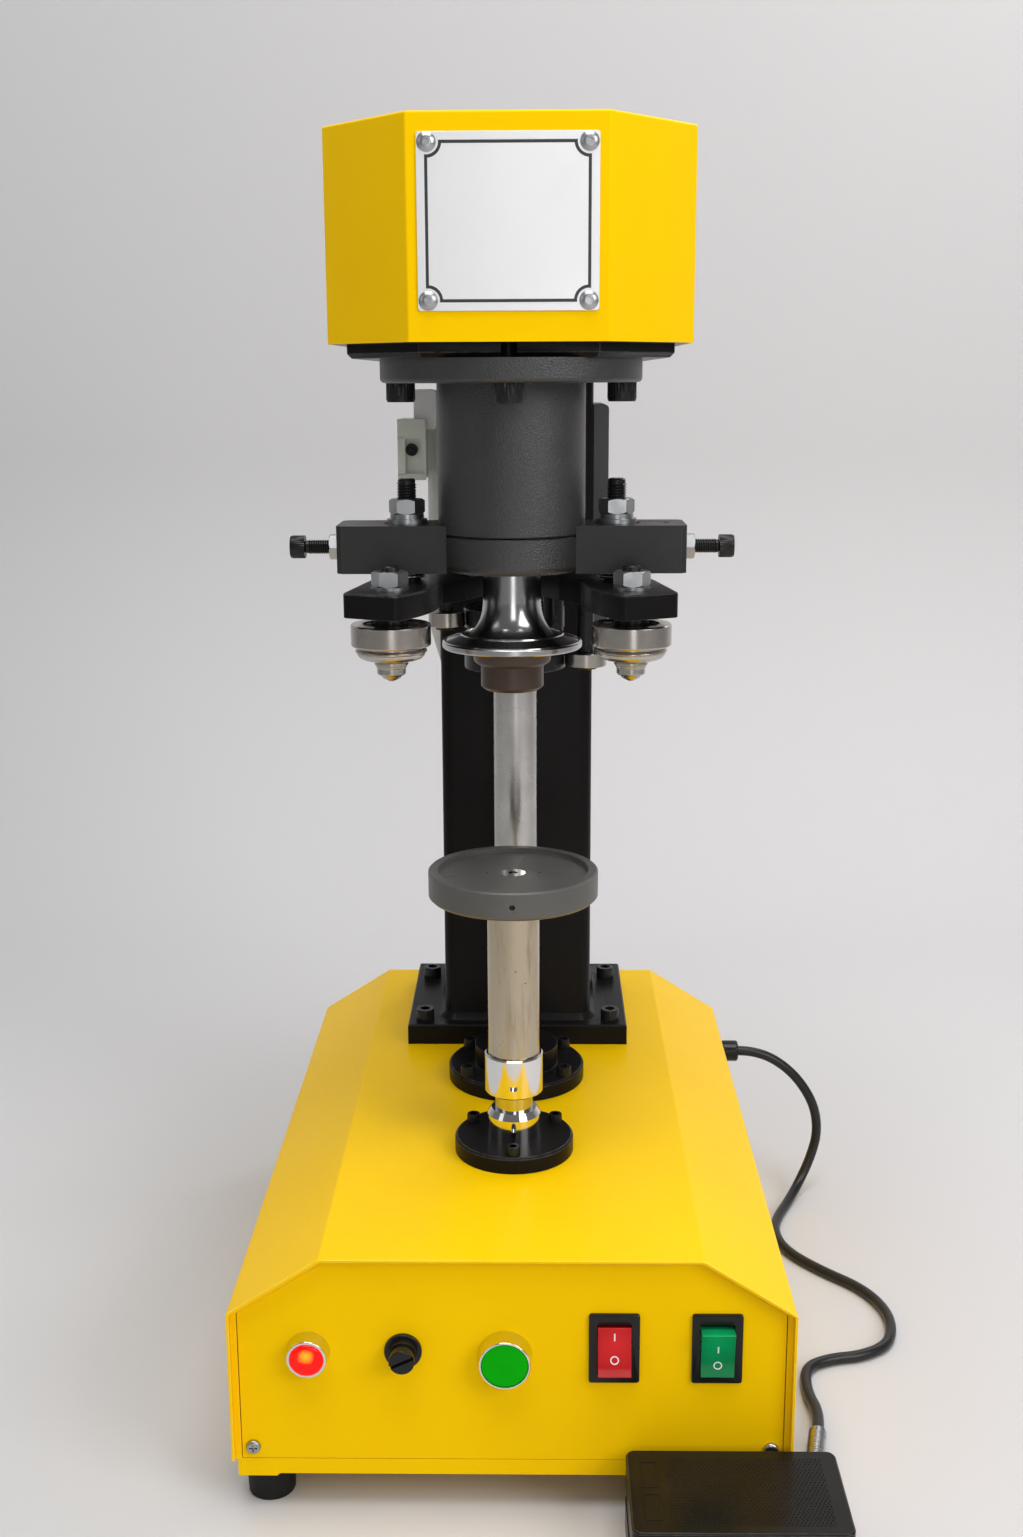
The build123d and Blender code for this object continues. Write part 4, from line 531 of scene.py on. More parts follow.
def splitNode(node, choose, kinds, body):
    # A copy of the solids of a CAD node, sorted by their boxes, so that each kind gets its own finish
    whole = copyNode(node)
    members = {}
    seen = set()
    for start in whole.verts:
        if start.index in seen:
            continue
        solid = [start]
        seen.add(start.index)
        for vert in solid:
            for edge in vert.link_edges:
                other = edge.other_vert(vert)
                if other.index not in seen:
                    seen.add(other.index)
                    solid.append(other)
        low = [min(vert.co[axis] for vert in solid) / mm for axis in range(3)]
        high = [max(vert.co[axis] for vert in solid) / mm for axis in range(3)]
        members.setdefault(choose(low, high), set()).update(vert.index for vert in solid)
    for kind, (finish, slotName, width) in kinds.items():
        part = whole.copy()
        others = [vert for vert in part.verts if vert.index not in members[kind]]
        bmesh.ops.delete(part, geom=others, context="VERTS")
        bmesh.ops.dissolve_limit(part, angle_limit=flatAngle, verts=part.verts, edges=part.edges)
        keepMesh(node + kind, meshOf(node + kind, part), finish, body, width, (node,))
    whole.free()


# Makers of turned, threaded and socketed shapes, all in millimetres about the Z axis
def spun(line, closed, angle, steps, rise=0, merge=True):
    shape = bmesh.new()
    verts = [shape.verts.new((radius, 0, height)) for radius, height in line]
    for pair in zip(verts, verts[1:] + verts[:1] if closed else verts[1:]):
        shape.edges.new(pair)
    bmesh.ops.spin(
        shape, geom=shape.verts[:] + shape.edges[:], cent=(0, 0, 0), axis=(0, 0, 1), dvec=(0, 0, rise),
        angle=angle, steps=steps, use_merge=merge,
    )
    return shape


def turned(line, steps=72, closed=False):
    shape = spun(line, closed, math.tau, steps)
    bmesh.ops.remove_doubles(shape, verts=shape.verts, dist=seamGap)
    bmesh.ops.recalc_face_normals(shape, faces=shape.faces)
    return shape


def facing(place, direction):
    # Matrix that takes the Z axis to a direction, at a place
    turn = Vector(direction).to_track_quat("Z", "Y").to_matrix().to_4x4()
    return Matrix.Translation(Vector(place)) @ turn


def placed(shape, place):
    bmesh.ops.transform(shape, matrix=place, verts=shape.verts)
    return shape


def join(first, second, place=Matrix()):
    # Adds a second shape to the first one, moved to its place
    mesh = meshOf("joined", placed(second, place))
    first.from_mesh(mesh)
    bpy.data.meshes.remove(mesh)
    return first


def wound(outline, pitch, height, steps=20):
    # A closed outline wound up the axis as a thread or a coil
    turns = height / pitch
    count = round(turns * steps)
    shape = spun(outline, True, math.tau * turns, count, height / count, False)
    ends = [edge for edge in shape.edges if edge.is_boundary]
    bmesh.ops.holes_fill(shape, edges=ends, sides=len(outline))
    bmesh.ops.recalc_face_normals(shape, faces=shape.faces)
    return shape


thread = {"depth": 0.42, "chamfer": 0.8, "bite": 0.1}  # depth as a share of the pitch


def threadedRod(radius, pitch, low, high):
    # A core with a ridge wound round it and a turned end
    depth = pitch * thread["depth"]
    core = radius - depth
    inside = core - thread["bite"]
    end = [(core, high - thread["chamfer"]), (core - thread["chamfer"], high), (0, high)]
    ridge = wound([(inside, 0), (radius, depth), (inside, 2 * depth)], pitch, high - low - 2 * pitch)
    return join(turned([(0, low), (core, low)] + end, 32), ridge, Matrix.Translation((0, 0, low)))


def sinkSocket(shape, across, height, deep):
    # Closes the open top of a head with a hexagon socket
    rim = [edge for edge in shape.edges if edge.is_boundary]
    added = bmesh.ops.create_circle(shape, segments=6, radius=across / math.sqrt(3), cap_ends=False)
    bmesh.ops.translate(shape, verts=added["verts"], vec=(0, 0, height))
    corners = set(added["verts"])
    socket = [edge for edge in shape.edges if corners.issuperset(edge.verts)]
    bmesh.ops.bridge_loops(shape, edges=rim + socket)
    sunk = bmesh.ops.extrude_edge_only(shape, edges=socket)
    bmesh.ops.translate(shape, verts=vertsOf(sunk), vec=(0, 0, -deep))
    bmesh.ops.contextual_create(shape, geom=edgesOf(sunk))


cap = {"rim": 0.93, "shoulder": 0.84, "side": 0.97, "knurl": 0.962, "deep": 0.55}  # shares of its size


def capHead(radius, height, across, knurls=36):
    # Head of a cap screw: knurled side, rounded rim and a hexagon socket
    steps = 2 * knurls
    profile = [(0, 0), (radius, 0), (radius, height * cap["shoulder"]), (radius * cap["rim"], height)]
    shape = turned(profile, steps)
    for vert in shape.verts:
        step = round(math.atan2(vert.co.y, vert.co.x) / math.tau * steps)
        if step % 2 and math.hypot(vert.co.x, vert.co.y) >= radius * cap["side"]:
            vert.co.x *= cap["knurl"]
            vert.co.y *= cap["knurl"]
    sinkSocket(shape, across, height, height * cap["deep"])
    bmesh.ops.recalc_face_normals(shape, faces=shape.faces)
    return shape


def paintNode(node, finish):
    if not nodes[node].material_slots:
        nodes[node].data.materials.append(finishes[finish])
    for slot in nodes[node].material_slots:
        slot.material = finishes[finish]


# Cord from the side of the base to the pedal
pedalCord = {
    "radius": 3.5,
    "length": 0.49,
    "points": [
        (162, 247, 111), (178, 247, 111), (202, 247, 96), (219, 247, 72), (224, 247, 48),
        (219, 246, 26), (209, 237, 9), (199, 219, 3.6), (188, 196, 3.6), (182, 173, 3.6),
        (187, 146, 3.6), (207, 120, 3.6), (232, 96, 3.6), (243, 65, 3.6), (237, 32, 3.6),
        (217, 17.5, 3.6), (195, 14, 3.6), (178, 4, 3.6), (175.5, -22, 3.6), (178.6, -48.5, 7.2),
        (174.3, -68, 8.4),
    ],
}


def addCord(cord):
    curve = bpy.data.curves.new("pedalCordLine", "CURVE")
    curve.dimensions = "3D"
    spline = curve.splines.new("NURBS")
    spline.points.add(len(cord["points"]) - 1)
    for point, place in zip(spline.points, cord["points"]):
        point.co = (*(Vector(place) * mm), 1)
    spline.order_u = 3
    spline.use_endpoint_u = True
    curve.resolution_u = 16
    curve.bevel_depth = cord["radius"] * mm
    curve.bevel_resolution = 6
    curve.use_fill_caps = True
    curve.materials.append(finishes["cordJacket"])
    piece = addObject("pedalCordLine", curve)
    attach(piece, "machine")
    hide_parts("pedal_cord")
    return piece


cordPiece = addCord(pedalCord)
print("cord laid")


# CAD pieces whose shape is kept: how far their edges are softened, or only a better finish
softNodes = {
    ("yellowPowderCoat", "machine", "yellow_paint"): {
        "hood": 0.5, "base_pan": 0.4, "front_panel": 0.35, "rear_panel": 0.35, "head_cover": 0.5,
    },
    ("blackPaint", "machine", "black_paint"): {
        "column": 0.7, "deck_frame": 0.6, "head_plate": 0.6, "front_flange": 0.5, "rear_flange": 0.5,
    },
    ("blackenedSteel", "machine", "black_paint"): {"cross_bar": 0.5},
    ("blackPaint", "left_lever", "black_paint"): {"left_lever": 0.7},
    ("blackPaint", "right_lever", "black_paint"): {"right_lever": 0.7},
    ("lightGreyPaint", "machine", "grey_paint"): {"left_side_plate": 0.5},
    ("darkGreyPaint", "machine", "dark_grey_paint"): {"right_side_plate": 0.5},
    ("mouldedRubber", "machine", "rubber"): {"rubber_feet": 0.4},
    ("blackOxide", "cam_shaft", "black_oxide"): {"cams": 0.5},
    ("blackPlastic", "machine", "black_plastic"): {"rocker_frames": 0.3},
    ("darkTray", "tray", "dark_steel"): {"can_tray": 0.5},
    ("brushedPlate", "machine", "plate"): {"nameplate": 0.45},
    ("pedalPlastic", "machine", "pedal_plastic"): {"pedal_base": 0.5},
    ("pedalPlastic", "treadle", "pedal_plastic"): {"pedal_plate": 0.9},
    ("redRockerPlastic", "red_rocker", "red_plastic"): {"red_rocker": 0.3},
    ("greenRockerPlastic", "green_rocker", "green_rocker_plastic"): {"green_rocker": 0.3},
}
rubbedAndLitEdgeNodes = (
    "hood", "base_pan", "head_cover", "head_plate", "front_flange", "rear_flange", "cross_bar", "left_lever",
    "right_lever", "cams", "can_tray", "nameplate", "pedal_plate",
)
plainNodes = {
    "texturedBlack": ("spindle_housing", "housing_cap"),
    "polishedSteel": ("spindle_shaft", "spindle_bearings", "lift_rod"),
    "groundShaft": ("cam_shaft",),
    "stainedTube": ("post_tube",),
    "chromePlate": ("height_collar", "wiper_ring", "tray_screw", "pilot_bezel", "button_bezel"),
    "turnedRoller": ("left_follower", "right_follower"),
    "springWire": ("lever_springs",),
    "castGrey": ("head_motor", "gear_motor", "lift_unit"),
    "litLens": ("pilot_lens",),
    "blackPlastic": ("fuse_holder", "fuse_cap", "cord_glands"),
    "greenButton": ("start_button",),
    "milkyPlastic": ("limit_switch",),
}
for (finish, body, slotName), widths in softNodes.items():
    for node, width in widths.items():
        edge = None
        # Edges of these nodes take the edge finish: a painted highlight on the hood, base pan, head cover and
        # pedal plate, rubbed wear on the others
        if node in rubbedAndLitEdgeNodes:
            edge = "blackenedSteelRubbedAndLitEdge" if node == "cams" else finish + "RubbedAndLitEdge"
        softCopy(node, finish, body, width, edge)
for finish, names in plainNodes.items():
    for node in names:
        paintNode(node, finish)
print("CAD pieces dressed")


# Roller and follower pins: black shanks, plated washers and nuts, and a stepped end nut
rollerPlaces = {"left": (-63.5, -42.0, 0), "right": (63.5, -42.0, 0)}
pinEnd = {
    "endTop": 460, "platedFrom": 489,
    "line": [
        (0, 452.2), (8.4, 452.2), (9, 451.6), (9, 450.2), (8.2, 449.6), (8.2, 448.9), (7.6, 448.3),
        (7.6, 445.4), (6.9, 444.7), (5.6, 444.2), (4.7, 442.9), (2.6, 441.9), (1.5, 441.25), (0, 441.2),
    ],
}


def addPins(look):
    def kind(low, high):
        if high[2] < look["endTop"]:
            return "End"
        return "Plated" if low[2] > look["platedFrom"] else "Shank"

    kinds = {"Plated": ("zincPlate", "polished_steel", 0.35), "Shank": ("blackOxide", "polished_steel", 0.3)}
    for side, place in rollerPlaces.items():
        body, pins = side + "_lever", side + "_pins"
        splitNode(pins, kind, kinds, body)
        shape = placed(turned(look["line"], 48), Matrix.Translation(place))
        keepShape(side + "PinEnd", shape, "turnedRoller", body, 0.2, (pins,))


addPins(pinEnd)


# Front edge of the hood: a thin sheet that stands a little in front of the panel
hoodLip = {
    "knuckle": 89.5, "topHalf": 100.5, "sheet": 1.5, "reach": 5, "lap": 1.5, "bend": 1.3, "proud": 0.02,
    "raised": 2,
}


def addHoodLip(look):
    low, high = [Vector(corner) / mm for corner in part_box("hood")]
    half, top = high.x + look["proud"], high.z + look["proud"]
    side = [(half, low.z + look["raised"]), (half, low.z + look["knuckle"]), (look["topHalf"], top)]
    shape = bmesh.new()
    line = [shape.verts.new((x, low.y - look["reach"], z)) for x, z in side]
    line += [shape.verts.new((-x, low.y - look["reach"], z)) for x, z in reversed(side)]
    for pair in zip(line, line[1:]):
        shape.edges.new(pair)
    back = vertsOf(bmesh.ops.extrude_edge_only(shape, edges=shape.edges[:]))
    bmesh.ops.translate(shape, verts=back, vec=(0, look["reach"] + look["lap"], 0))
    bends = [edge for edge in shape.edges if len(edge.link_faces) == 2]
    bmesh.ops.bevel(
        shape, geom=bends, offset=look["bend"], offset_type="OFFSET", segments=4, profile=0.5, affect="EDGES",
        material=-1, clamp_overlap=True,
    )
    for face in shape.faces:
        inward = Vector((0, 0, low.z)) - face.calc_center_median()
        if face.normal.x * inward.x + face.normal.z * inward.z > 0:
            face.normal_flip()
    bmesh.ops.solidify(shape, geom=shape.faces[:], thickness=look["sheet"])
    # Its edges take the painted highlight of the yellow edge finish
    edge = "yellowPowderCoatRubbedAndLitEdge"
    keepShape("hoodLip", shape, "yellowPowderCoat", "machine", 0.25, (), edge)


addHoodLip(hoodLip)


# Clamp studs: black threaded ends, plated nuts, spring washers and washers
studs = {
    "across": 57, "radius": 5.4, "pitch": 1.5, "top": 545, "threadLow": 517, "studTop": 544,
    "line": [
        (0, 472.7), (10, 472.7), (10, 476.7), (7, 476.7), (7, 495.5), (4.7, 495.5), (4.7, 521),
        (0, 521),
    ],
}


def addStuds(stud):
    splitNode(
        "pivot_studs", lambda low, high: "Stud" if high[2] > stud["studTop"] else "Hardware",
        {"Hardware": ("zincPlate", "zinc", 0.4)}, "machine",
    )
    whole = bmesh.new()
    for side in (-1, 1):
        body = turned(stud["line"], 40)
        join(body, threadedRod(stud["radius"], stud["pitch"], stud["threadLow"], stud["top"]))
        join(whole, body, Matrix.Translation((side * stud["across"], 0, 0)))
    keepShape("clampStuds", whole, "blackOxide", "machine", 0, ("pivot_studs",))


addStuds(studs)


# End screws with knurled heads, and their lock nuts
endScrews = {
    "radius": 4, "pitch": 1.25, "tip": 62.3, "head": 113, "lap": 0.2, "height": 508.25,
    "headRadius": 6.24, "headLength": 8, "socket": 6.4, "nutLength": 20,
}


def addEndScrews(screw):
    splitNode(
        "adjusters", lambda low, high: "Screws" if high[0] - low[0] > screw["nutLength"] else "LockNuts",
        {"LockNuts": ("zincPlate", "zinc", 0.35)}, "machine",
    )
    whole = bmesh.new()
    for side in (-1, 1):
        body = threadedRod(screw["radius"], screw["pitch"], screw["tip"], screw["head"] + screw["lap"])
        head = capHead(screw["headRadius"], screw["headLength"], screw["socket"])
        join(body, head, Matrix.Translation((0, 0, screw["head"])))
        join(whole, body, facing((0, 0, screw["height"]), (side, 0, 0)))
    keepShape("endScrews", whole, "blackOxide", "machine", 0, ("adjusters",))


addEndScrews(endScrews)


# Cap screws of the flanges, the column's foot and the spindle housing, where they hang head down
flangeScrews = [
    {"size": 5, "height": 162, "up": 1, "circle": 29, "angles": (-90, 32, 148)},
    {"size": 6, "height": 162, "up": 1, "circle": 38.5, "angles": (37, 143, 217, 323), "back": 108},
]
frameScrews = [
    {"size": 8, "height": 166, "up": 1, "places": [(x, y) for x in (-63.7, 63.7) for y in (170.3, 255)]},
    {"size": 10, "height": 595.5, "up": -1, "circle": 59.3, "angles": (0, 90, 180, 270)},
]
capScrew = {"head": 0.78, "socket": 0.8, "shank": 0.46, "knurls": 30}  # shares of the screw's size


def addCapScrews(name, node, screws):
    whole = bmesh.new()
    for screw in screws:
        size, places = screw["size"], screw.get("places")
        if places is None:
            radius, back = screw["circle"], screw.get("back", 0)
            rays = [math.radians(angle) for angle in screw["angles"]]
            places = [(radius * math.cos(ray), back + radius * math.sin(ray)) for ray in rays]
        shank = size * capScrew["shank"]
        for x, y in places:
            head = capHead(size * capScrew["head"], size, size * capScrew["socket"], capScrew["knurls"])
            join(head, turned([(0, -size), (shank, -size), (shank, 0.1), (0, 0.1)], 24))
            join(whole, head, facing((x, y, screw["height"]), (0, 0, screw["up"])))
    keepShape(name, whole, "blackOxide", "machine", 0, (node,))


addCapScrews("flangeCapScrews", "flange_screws", flangeScrews)
addCapScrews("frameCapScrews", "frame_screws", frameScrews)
print("screws turned")


# Nameplate: border lines and button head screws
plate = {
    "halfX": 44.2, "halfZ": 41.5, "middle": 671.5, "front": -73, "screwX": 39.2, "screwZ": 36.7,
    "lineInset": 4, "lineWidth": 1.5, "fineInset": 3.3, "fineWidth": 0.4, "curve": 5.8, "steps": 12,
    "proud": 0.06, "headRadius": 4.7, "headRise": 2, "socket": 3.2, "socketDepth": 1.7, "screwsAbove": 500,
    "mouth": 0.75, "domeSteps": 8, "shankLine": [(0, -4), (1.4, -4), (1.4, 0.1), (0, 0.1)],
}


def borderLoop(shape, inset):
    # Closed line round the plate that curves in about each screw
    halfX = plate["halfX"] - inset
    halfZ = plate["halfZ"] - inset
    radius = plate["curve"] + inset - plate["lineInset"]
    centreX, centreZ = plate["screwX"], plate["screwZ"]
    line = []
    for signX, signZ in ((1, 1), (-1, 1), (-1, -1), (1, -1)):
        start = -math.pi / 2 + math.asin((halfX - centreX) / radius)
        end = -math.pi - math.asin((halfZ - centreZ) / radius)
        spots = [start + (end - start) * step / plate["steps"] for step in range(plate["steps"] + 1)]
        if signX * signZ < 0:
            spots.reverse()
        for angle in spots:
            x = centreX + radius * math.cos(angle)
            z = centreZ + radius * math.sin(angle)
            line.append(shape.verts.new((signX * x, plate["front"], plate["middle"] + signZ * z)))
    return [shape.edges.new(pair) for pair in zip(line, line[1:] + line[:1])]


def addBorder(name, inset, width, finish):
    shape = bmesh.new()
    outer = borderLoop(shape, inset)
    inner = borderLoop(shape, inset + width)
    bmesh.ops.bridge_loops(shape, edges=outer + inner)
    raised = bmesh.ops.extrude_face_region(shape, geom=shape.faces[:])
    bmesh.ops.translate(shape, verts=vertsOf(raised), vec=(0, -plate["proud"], 0))
    keepShape(name, shape, finish, "machine", 0)


def buttonHead(radius, rise, across, deep):
    # Domed head with a hexagon socket
    ball = (radius**2 + rise**2) / (2 * rise)
    mouth = across * plate["mouth"]
    profile = [(0, 0), (radius, 0)]
    for step in range(plate["domeSteps"] + 1):
        reach = radius + (mouth - radius) * step / plate["domeSteps"]
        profile.append((reach, rise - ball + math.sqrt(ball**2 - reach**2)))
    shape = turned(profile, 48)
    sinkSocket(shape, across, profile[-1][1], deep)
    return shape


def addPlateDetails():
    addBorder("borderLine", plate["lineInset"], plate["lineWidth"], "darkInk")
    addBorder("borderFineLine", plate["fineInset"], plate["fineWidth"], "lightGreyPaint")
    splitNode(
        "small_screws", lambda low, high: "Plate" if low[2] > plate["screwsAbove"] else "Panel",
        {"Panel": ("zincPlate", "zinc", 0.12)}, "machine",
    )
    whole = bmesh.new()
    for signX in (-1, 1):
        for signZ in (-1, 1):
            head = buttonHead(plate["headRadius"], plate["headRise"], plate["socket"], plate["socketDepth"])
            join(head, turned(plate["shankLine"], 24))
            spot = (signX * plate["screwX"], plate["front"], plate["middle"] + signZ * plate["screwZ"])
            join(whole, head, facing(spot, (0, -1, 0)))
    keepShape("plateScrews", whole, "zincPlate", "machine", 0, ("small_screws",))


addPlateDetails()
print("nameplate finished")


# Chuck: polished disc with a trumpet neck, and the dark stepped nose under it
chuck = {
    "bore": 9, "neck": 16, "top": 500.8, "chamfer": 0.6, "lipLow": 452.7,
    "flareTop": 479, "flareReach": 10.6, "flareDrop": 18.6, "flareSteps": 16,
    "disc": [
        (27, 460.9), (28.2, 460.9), (28.6, 460), (29.6, 459.5), (36.7, 456.8), (37, 457.3),
        (37.8, 457.3), (38.1, 456.5), (38.6, 456.1), (38.6, 453.6), (37.9, 452.9), (36.6, 452.7),
    ],
    "nose": [
        (0, 453), (21.4, 453), (21.4, 445.9), (20.8, 444.9), (18.8, 443.5), (17.4, 443.5), (17.4, 431.3),
        (15, 429.3), (5.5, 429.3), (5.5, 436.3), (0, 436.3),
    ],
}


def addChuck(look):
    neck, top, chamfer = look["neck"], look["top"], look["chamfer"]
    foot = (look["bore"], look["lipLow"])
    profile = [foot, (look["bore"], top), (neck - chamfer, top), (neck, top - chamfer)]
    for step in range(look["flareSteps"] + 1):
        turn = math.pi / 2 * step / look["flareSteps"]
        reach = neck + look["flareReach"] * (1 - math.cos(turn))
        profile.append((reach, look["flareTop"] - look["flareDrop"] * math.sin(turn)))
    profile += look["disc"] + [foot]
    keepShape("chuckDisc", turned(profile, 128), "turnedChuck", "spindle", 0.12, ("chuck",))
    nose = turned(look["nose"], 96)
    keepShape("chuckNose", nose, "quenchedNose", "spindle", 0.25, ("chuck",))


addChuck(chuck)


# Seaming rollers: a ring with a sunk black shield, a groove and a rounded flange
seamRoller = {
    "line": [
        (5.3, 468), (14.2, 468), (14.2, 471.3), (14.8, 472), (20.5, 472), (21.2, 471.3),
        (21.2, 461), (20.6, 460.3), (17.2, 460.3), (16.7, 459.8), (16.7, 459), (17.3, 458.6),
        (18.4, 458.5), (19, 458), (19, 457.2), (18.2, 456.7), (18, 455.6), (16.6, 454),
        (14.2, 453), (11.2, 452.6), (5.3, 452.6),
    ],
    "shieldLine": [
        (9.2, 468.05), (14, 468.05), (14, 469.6), (12.3, 469.6), (11.8, 469.2), (11.3, 469.6),
        (9.2, 469.6),
    ],
}


def addRollers(look):
    for side, place in rollerPlaces.items():
        body = side + "_roller"
        wheel = placed(turned(look["line"], 96, closed=True), Matrix.Translation(place))
        shield = placed(turned(look["shieldLine"], 64, closed=True), Matrix.Translation(place))
        keepShape(side + "Wheel", wheel, "turnedRoller", body, 0.15, (body,))
        keepShape(side + "Shield", shield, "blackOxide", body, 0)


addRollers(seamRoller)
print("chuck and rollers finished")


# Coil that guards the cord at the pedal, and the cord inside it
guard = {
    "start": (174.3, -68, 8.4), "before": (178.6, -48.5, 7.2), "end": -136.5,
    "coil": 4.5, "wire": 0.72, "sides": 8, "pitch": 1.75, "core": 3.45,
}


def addGuard(look):
    start = Vector(look["start"])
    way = (start - Vector(look["before"])).normalized()
    length = (look["end"] - start.y) / way.y
    outline = [
        (look["coil"] + look["wire"] * math.cos(turn), look["wire"] * (1 + math.sin(turn)))
        for turn in [math.tau * step / look["sides"] for step in range(look["sides"])]
    ]
    coil = placed(wound(outline, look["pitch"], length - 2 * look["wire"], 24), facing(start, way))
    keepShape("cordGuard", coil, "springWire", "machine", 0, ("cord_spring",))
    core = turned([(0, 0), (look["core"], 0), (look["core"], length), (0, length)], 28)
    placed(core, facing(start, way))
    keepShape("cordCore", core, "cordJacket", "machine", 0, ("cord_spring",))


addGuard(guard)


# Pedal: fine dots on the tread and two raised frames in the left column
tread = {
    "top": 42, "x": 116, "width": 111, "back": -132.5, "depth": 67, "margin": 7, "column": 21,
    "pitch": 2.1, "dot": 0.58, "taper": 0.45, "rise": 0.45, "sunk": 0.02, "frameWidth": 9,
    "frameLength": 21, "frameLine": 0.8, "frameRise": 0.35, "frameShift": 1, "frameGap": 5,
}


def addDots(look):
    dots = bmesh.new()
    low = look["x"] - look["width"] / 2 + look["column"]
    front = look["back"] - look["depth"] + look["margin"]
    height = look["top"] + look["rise"] / 2 - look["sunk"]
    countX = int((look["width"] - look["column"] - look["margin"]) / look["pitch"])
    countY = int((look["depth"] - 2 * look["margin"]) / look["pitch"])
    for row in range(countY + 1):
        for item in range(countX):
            x = low + (item + 0.5 * (row % 2)) * look["pitch"]
            bmesh.ops.create_cone(
                dots, cap_ends=True, segments=6, radius1=look["dot"], radius2=look["dot"] * look["taper"],
                depth=look["rise"], matrix=Matrix.Translation((x, front + row * look["pitch"], height)),
            )
    keepShape("treadDots", dots, "pedalPlastic", "treadle", 0)


def addFrames(look):
    frames = bmesh.new()
    x = look["x"] - look["width"] / 2 + look["column"] / 2 + look["frameShift"]
    for row in (-1, 1):
        y = look["back"] - look["depth"] / 2 + row * (look["frameLength"] + look["frameGap"]) / 2
        for inset in (0, look["frameLine"]):
            size = (look["frameWidth"] - 2 * inset, look["frameLength"] - 2 * inset, 1, 1)
            place = Matrix.Translation((x, y, look["top"] - look["sunk"])) @ Matrix.Diagonal(size)
            bmesh.ops.create_grid(frames, x_segments=1, y_segments=1, size=0.5, matrix=place)
    bmesh.ops.delete(frames, geom=frames.faces[:], context="FACES_ONLY")
    edges = frames.edges[:]
    for half in (edges[:8], edges[8:]):  # four edges outside and four inside each frame
        bmesh.ops.bridge_loops(frames, edges=half)
    raised = bmesh.ops.extrude_face_region(frames, geom=frames.faces[:])
    bmesh.ops.translate(frames, verts=vertsOf(raised), vec=(0, 0, look["frameRise"]))
    keepShape("treadFrames", frames, "pedalPlastic", "treadle", 0.15)


addDots(tread)
addFrames(tread)
print("pedal finished")


# White marks on the rockers, bent to their hollow faces
rockers = {
    "pivot": -126.4, "height": 98.8, "face": 5.5, "dip": 1.7, "half": 13.7, "proud": 0.05,
    "barSize": (0.75, 0.1, 4.3, 1), "ringSize": (2.3, 1.7),
    "red": {"x": 54.3, "tilt": -8, "bar": 8.2, "ring": -4.5},
    "green": {"x": 108.6, "tilt": 8, "bar": 3.4, "ring": -6.5},
}


def addMarks(look):
    outer, inner = look["ringSize"]
    proud = look["proud"]
    for colour in ("red", "green"):
        rocker = look[colour]
        whole = bmesh.new()
        bar = Matrix.Translation((0, 0, rocker["bar"])) @ Matrix.Diagonal(look["barSize"])
        bmesh.ops.create_cube(whole, size=1.0, matrix=bar)
        ring = turned([(inner, -proud), (outer, -proud), (outer, proud), (inner, proud)], 40, closed=True)
        join(whole, ring, facing((0, 0, rocker["ring"]), (0, -1, 0)))
        for vert in whole.verts:
            vert.co.y -= look["face"] + look["dip"] * (vert.co.z / look["half"]) ** 2
        turn = Matrix.Rotation(math.radians(rocker["tilt"]), 4, "X")
        placed(whole, Matrix.Translation((rocker["x"], look["pivot"], look["height"])) @ turn)
        keepShape(colour + "Marks", whole, "whiteMark", colour + "_rocker", 0)


addMarks(rockers)


# Limit switch: plunger and the collar round it
switchArm = {
    "place": (-66, 165.7, 553.5),
    "plunger": [(0, -6), (1.5, -6), (1.5, 3.4), (1, 4), (0, 4)],
    "collar": [(1.6, -5), (2.9, -5), (2.9, -1.8), (1.6, -1.8)],
}


def addPlunger(look):
    shape = join(turned(look["plunger"], 28), turned(look["collar"], 28, closed=True))
    placed(shape, facing(look["place"], (0, -1, 0)))
    keepShape("switchPlunger", shape, "blackPlastic", "machine", 0)


addPlunger(switchArm)


# Front of the limit switch: a frame round its sunk face, a black ring as painted shade in the plunger's hole,
# and the light bracket above it
switchFace = {
    "low": (-75, 534.3), "high": (-57, 572.7), "inLow": (-70, 538.5), "inHigh": (-58, 560.5),
    "lap": 1, "front": 164.3, "back": 165.9, "corner": 0.4, "holeShadePlace": (-66, 165.7, 553.5),
    "holeShade": [(2.7, -0.2), (4, -0.2), (4, 0.6), (3.7, 0.9), (2.7, 0.9)],
    "bracket": {"low": (-64.6, 566), "high": (-50.2, 591), "corner": 2.5, "front": 168.4, "back": 170},
}


def roundedSlab(low, high, corner, front, back):
    # A plate that faces the front, with its corners rounded
    shape = bmesh.new()
    spots = [(low[0], low[1]), (high[0], low[1]), (high[0], high[1]), (low[0], high[1])]
    face = shape.faces.new([shape.verts.new((x, front, z)) for x, z in spots])
    bmesh.ops.bevel(
        shape, geom=face.verts[:], offset=corner, segments=5, profile=0.5, affect="VERTICES", material=-1
    )
    raised = bmesh.ops.extrude_face_region(shape, geom=shape.faces[:])
    bmesh.ops.translate(shape, verts=vertsOf(raised), vec=(0, back - front, 0))
    bmesh.ops.recalc_face_normals(shape, faces=shape.faces)
    return shape


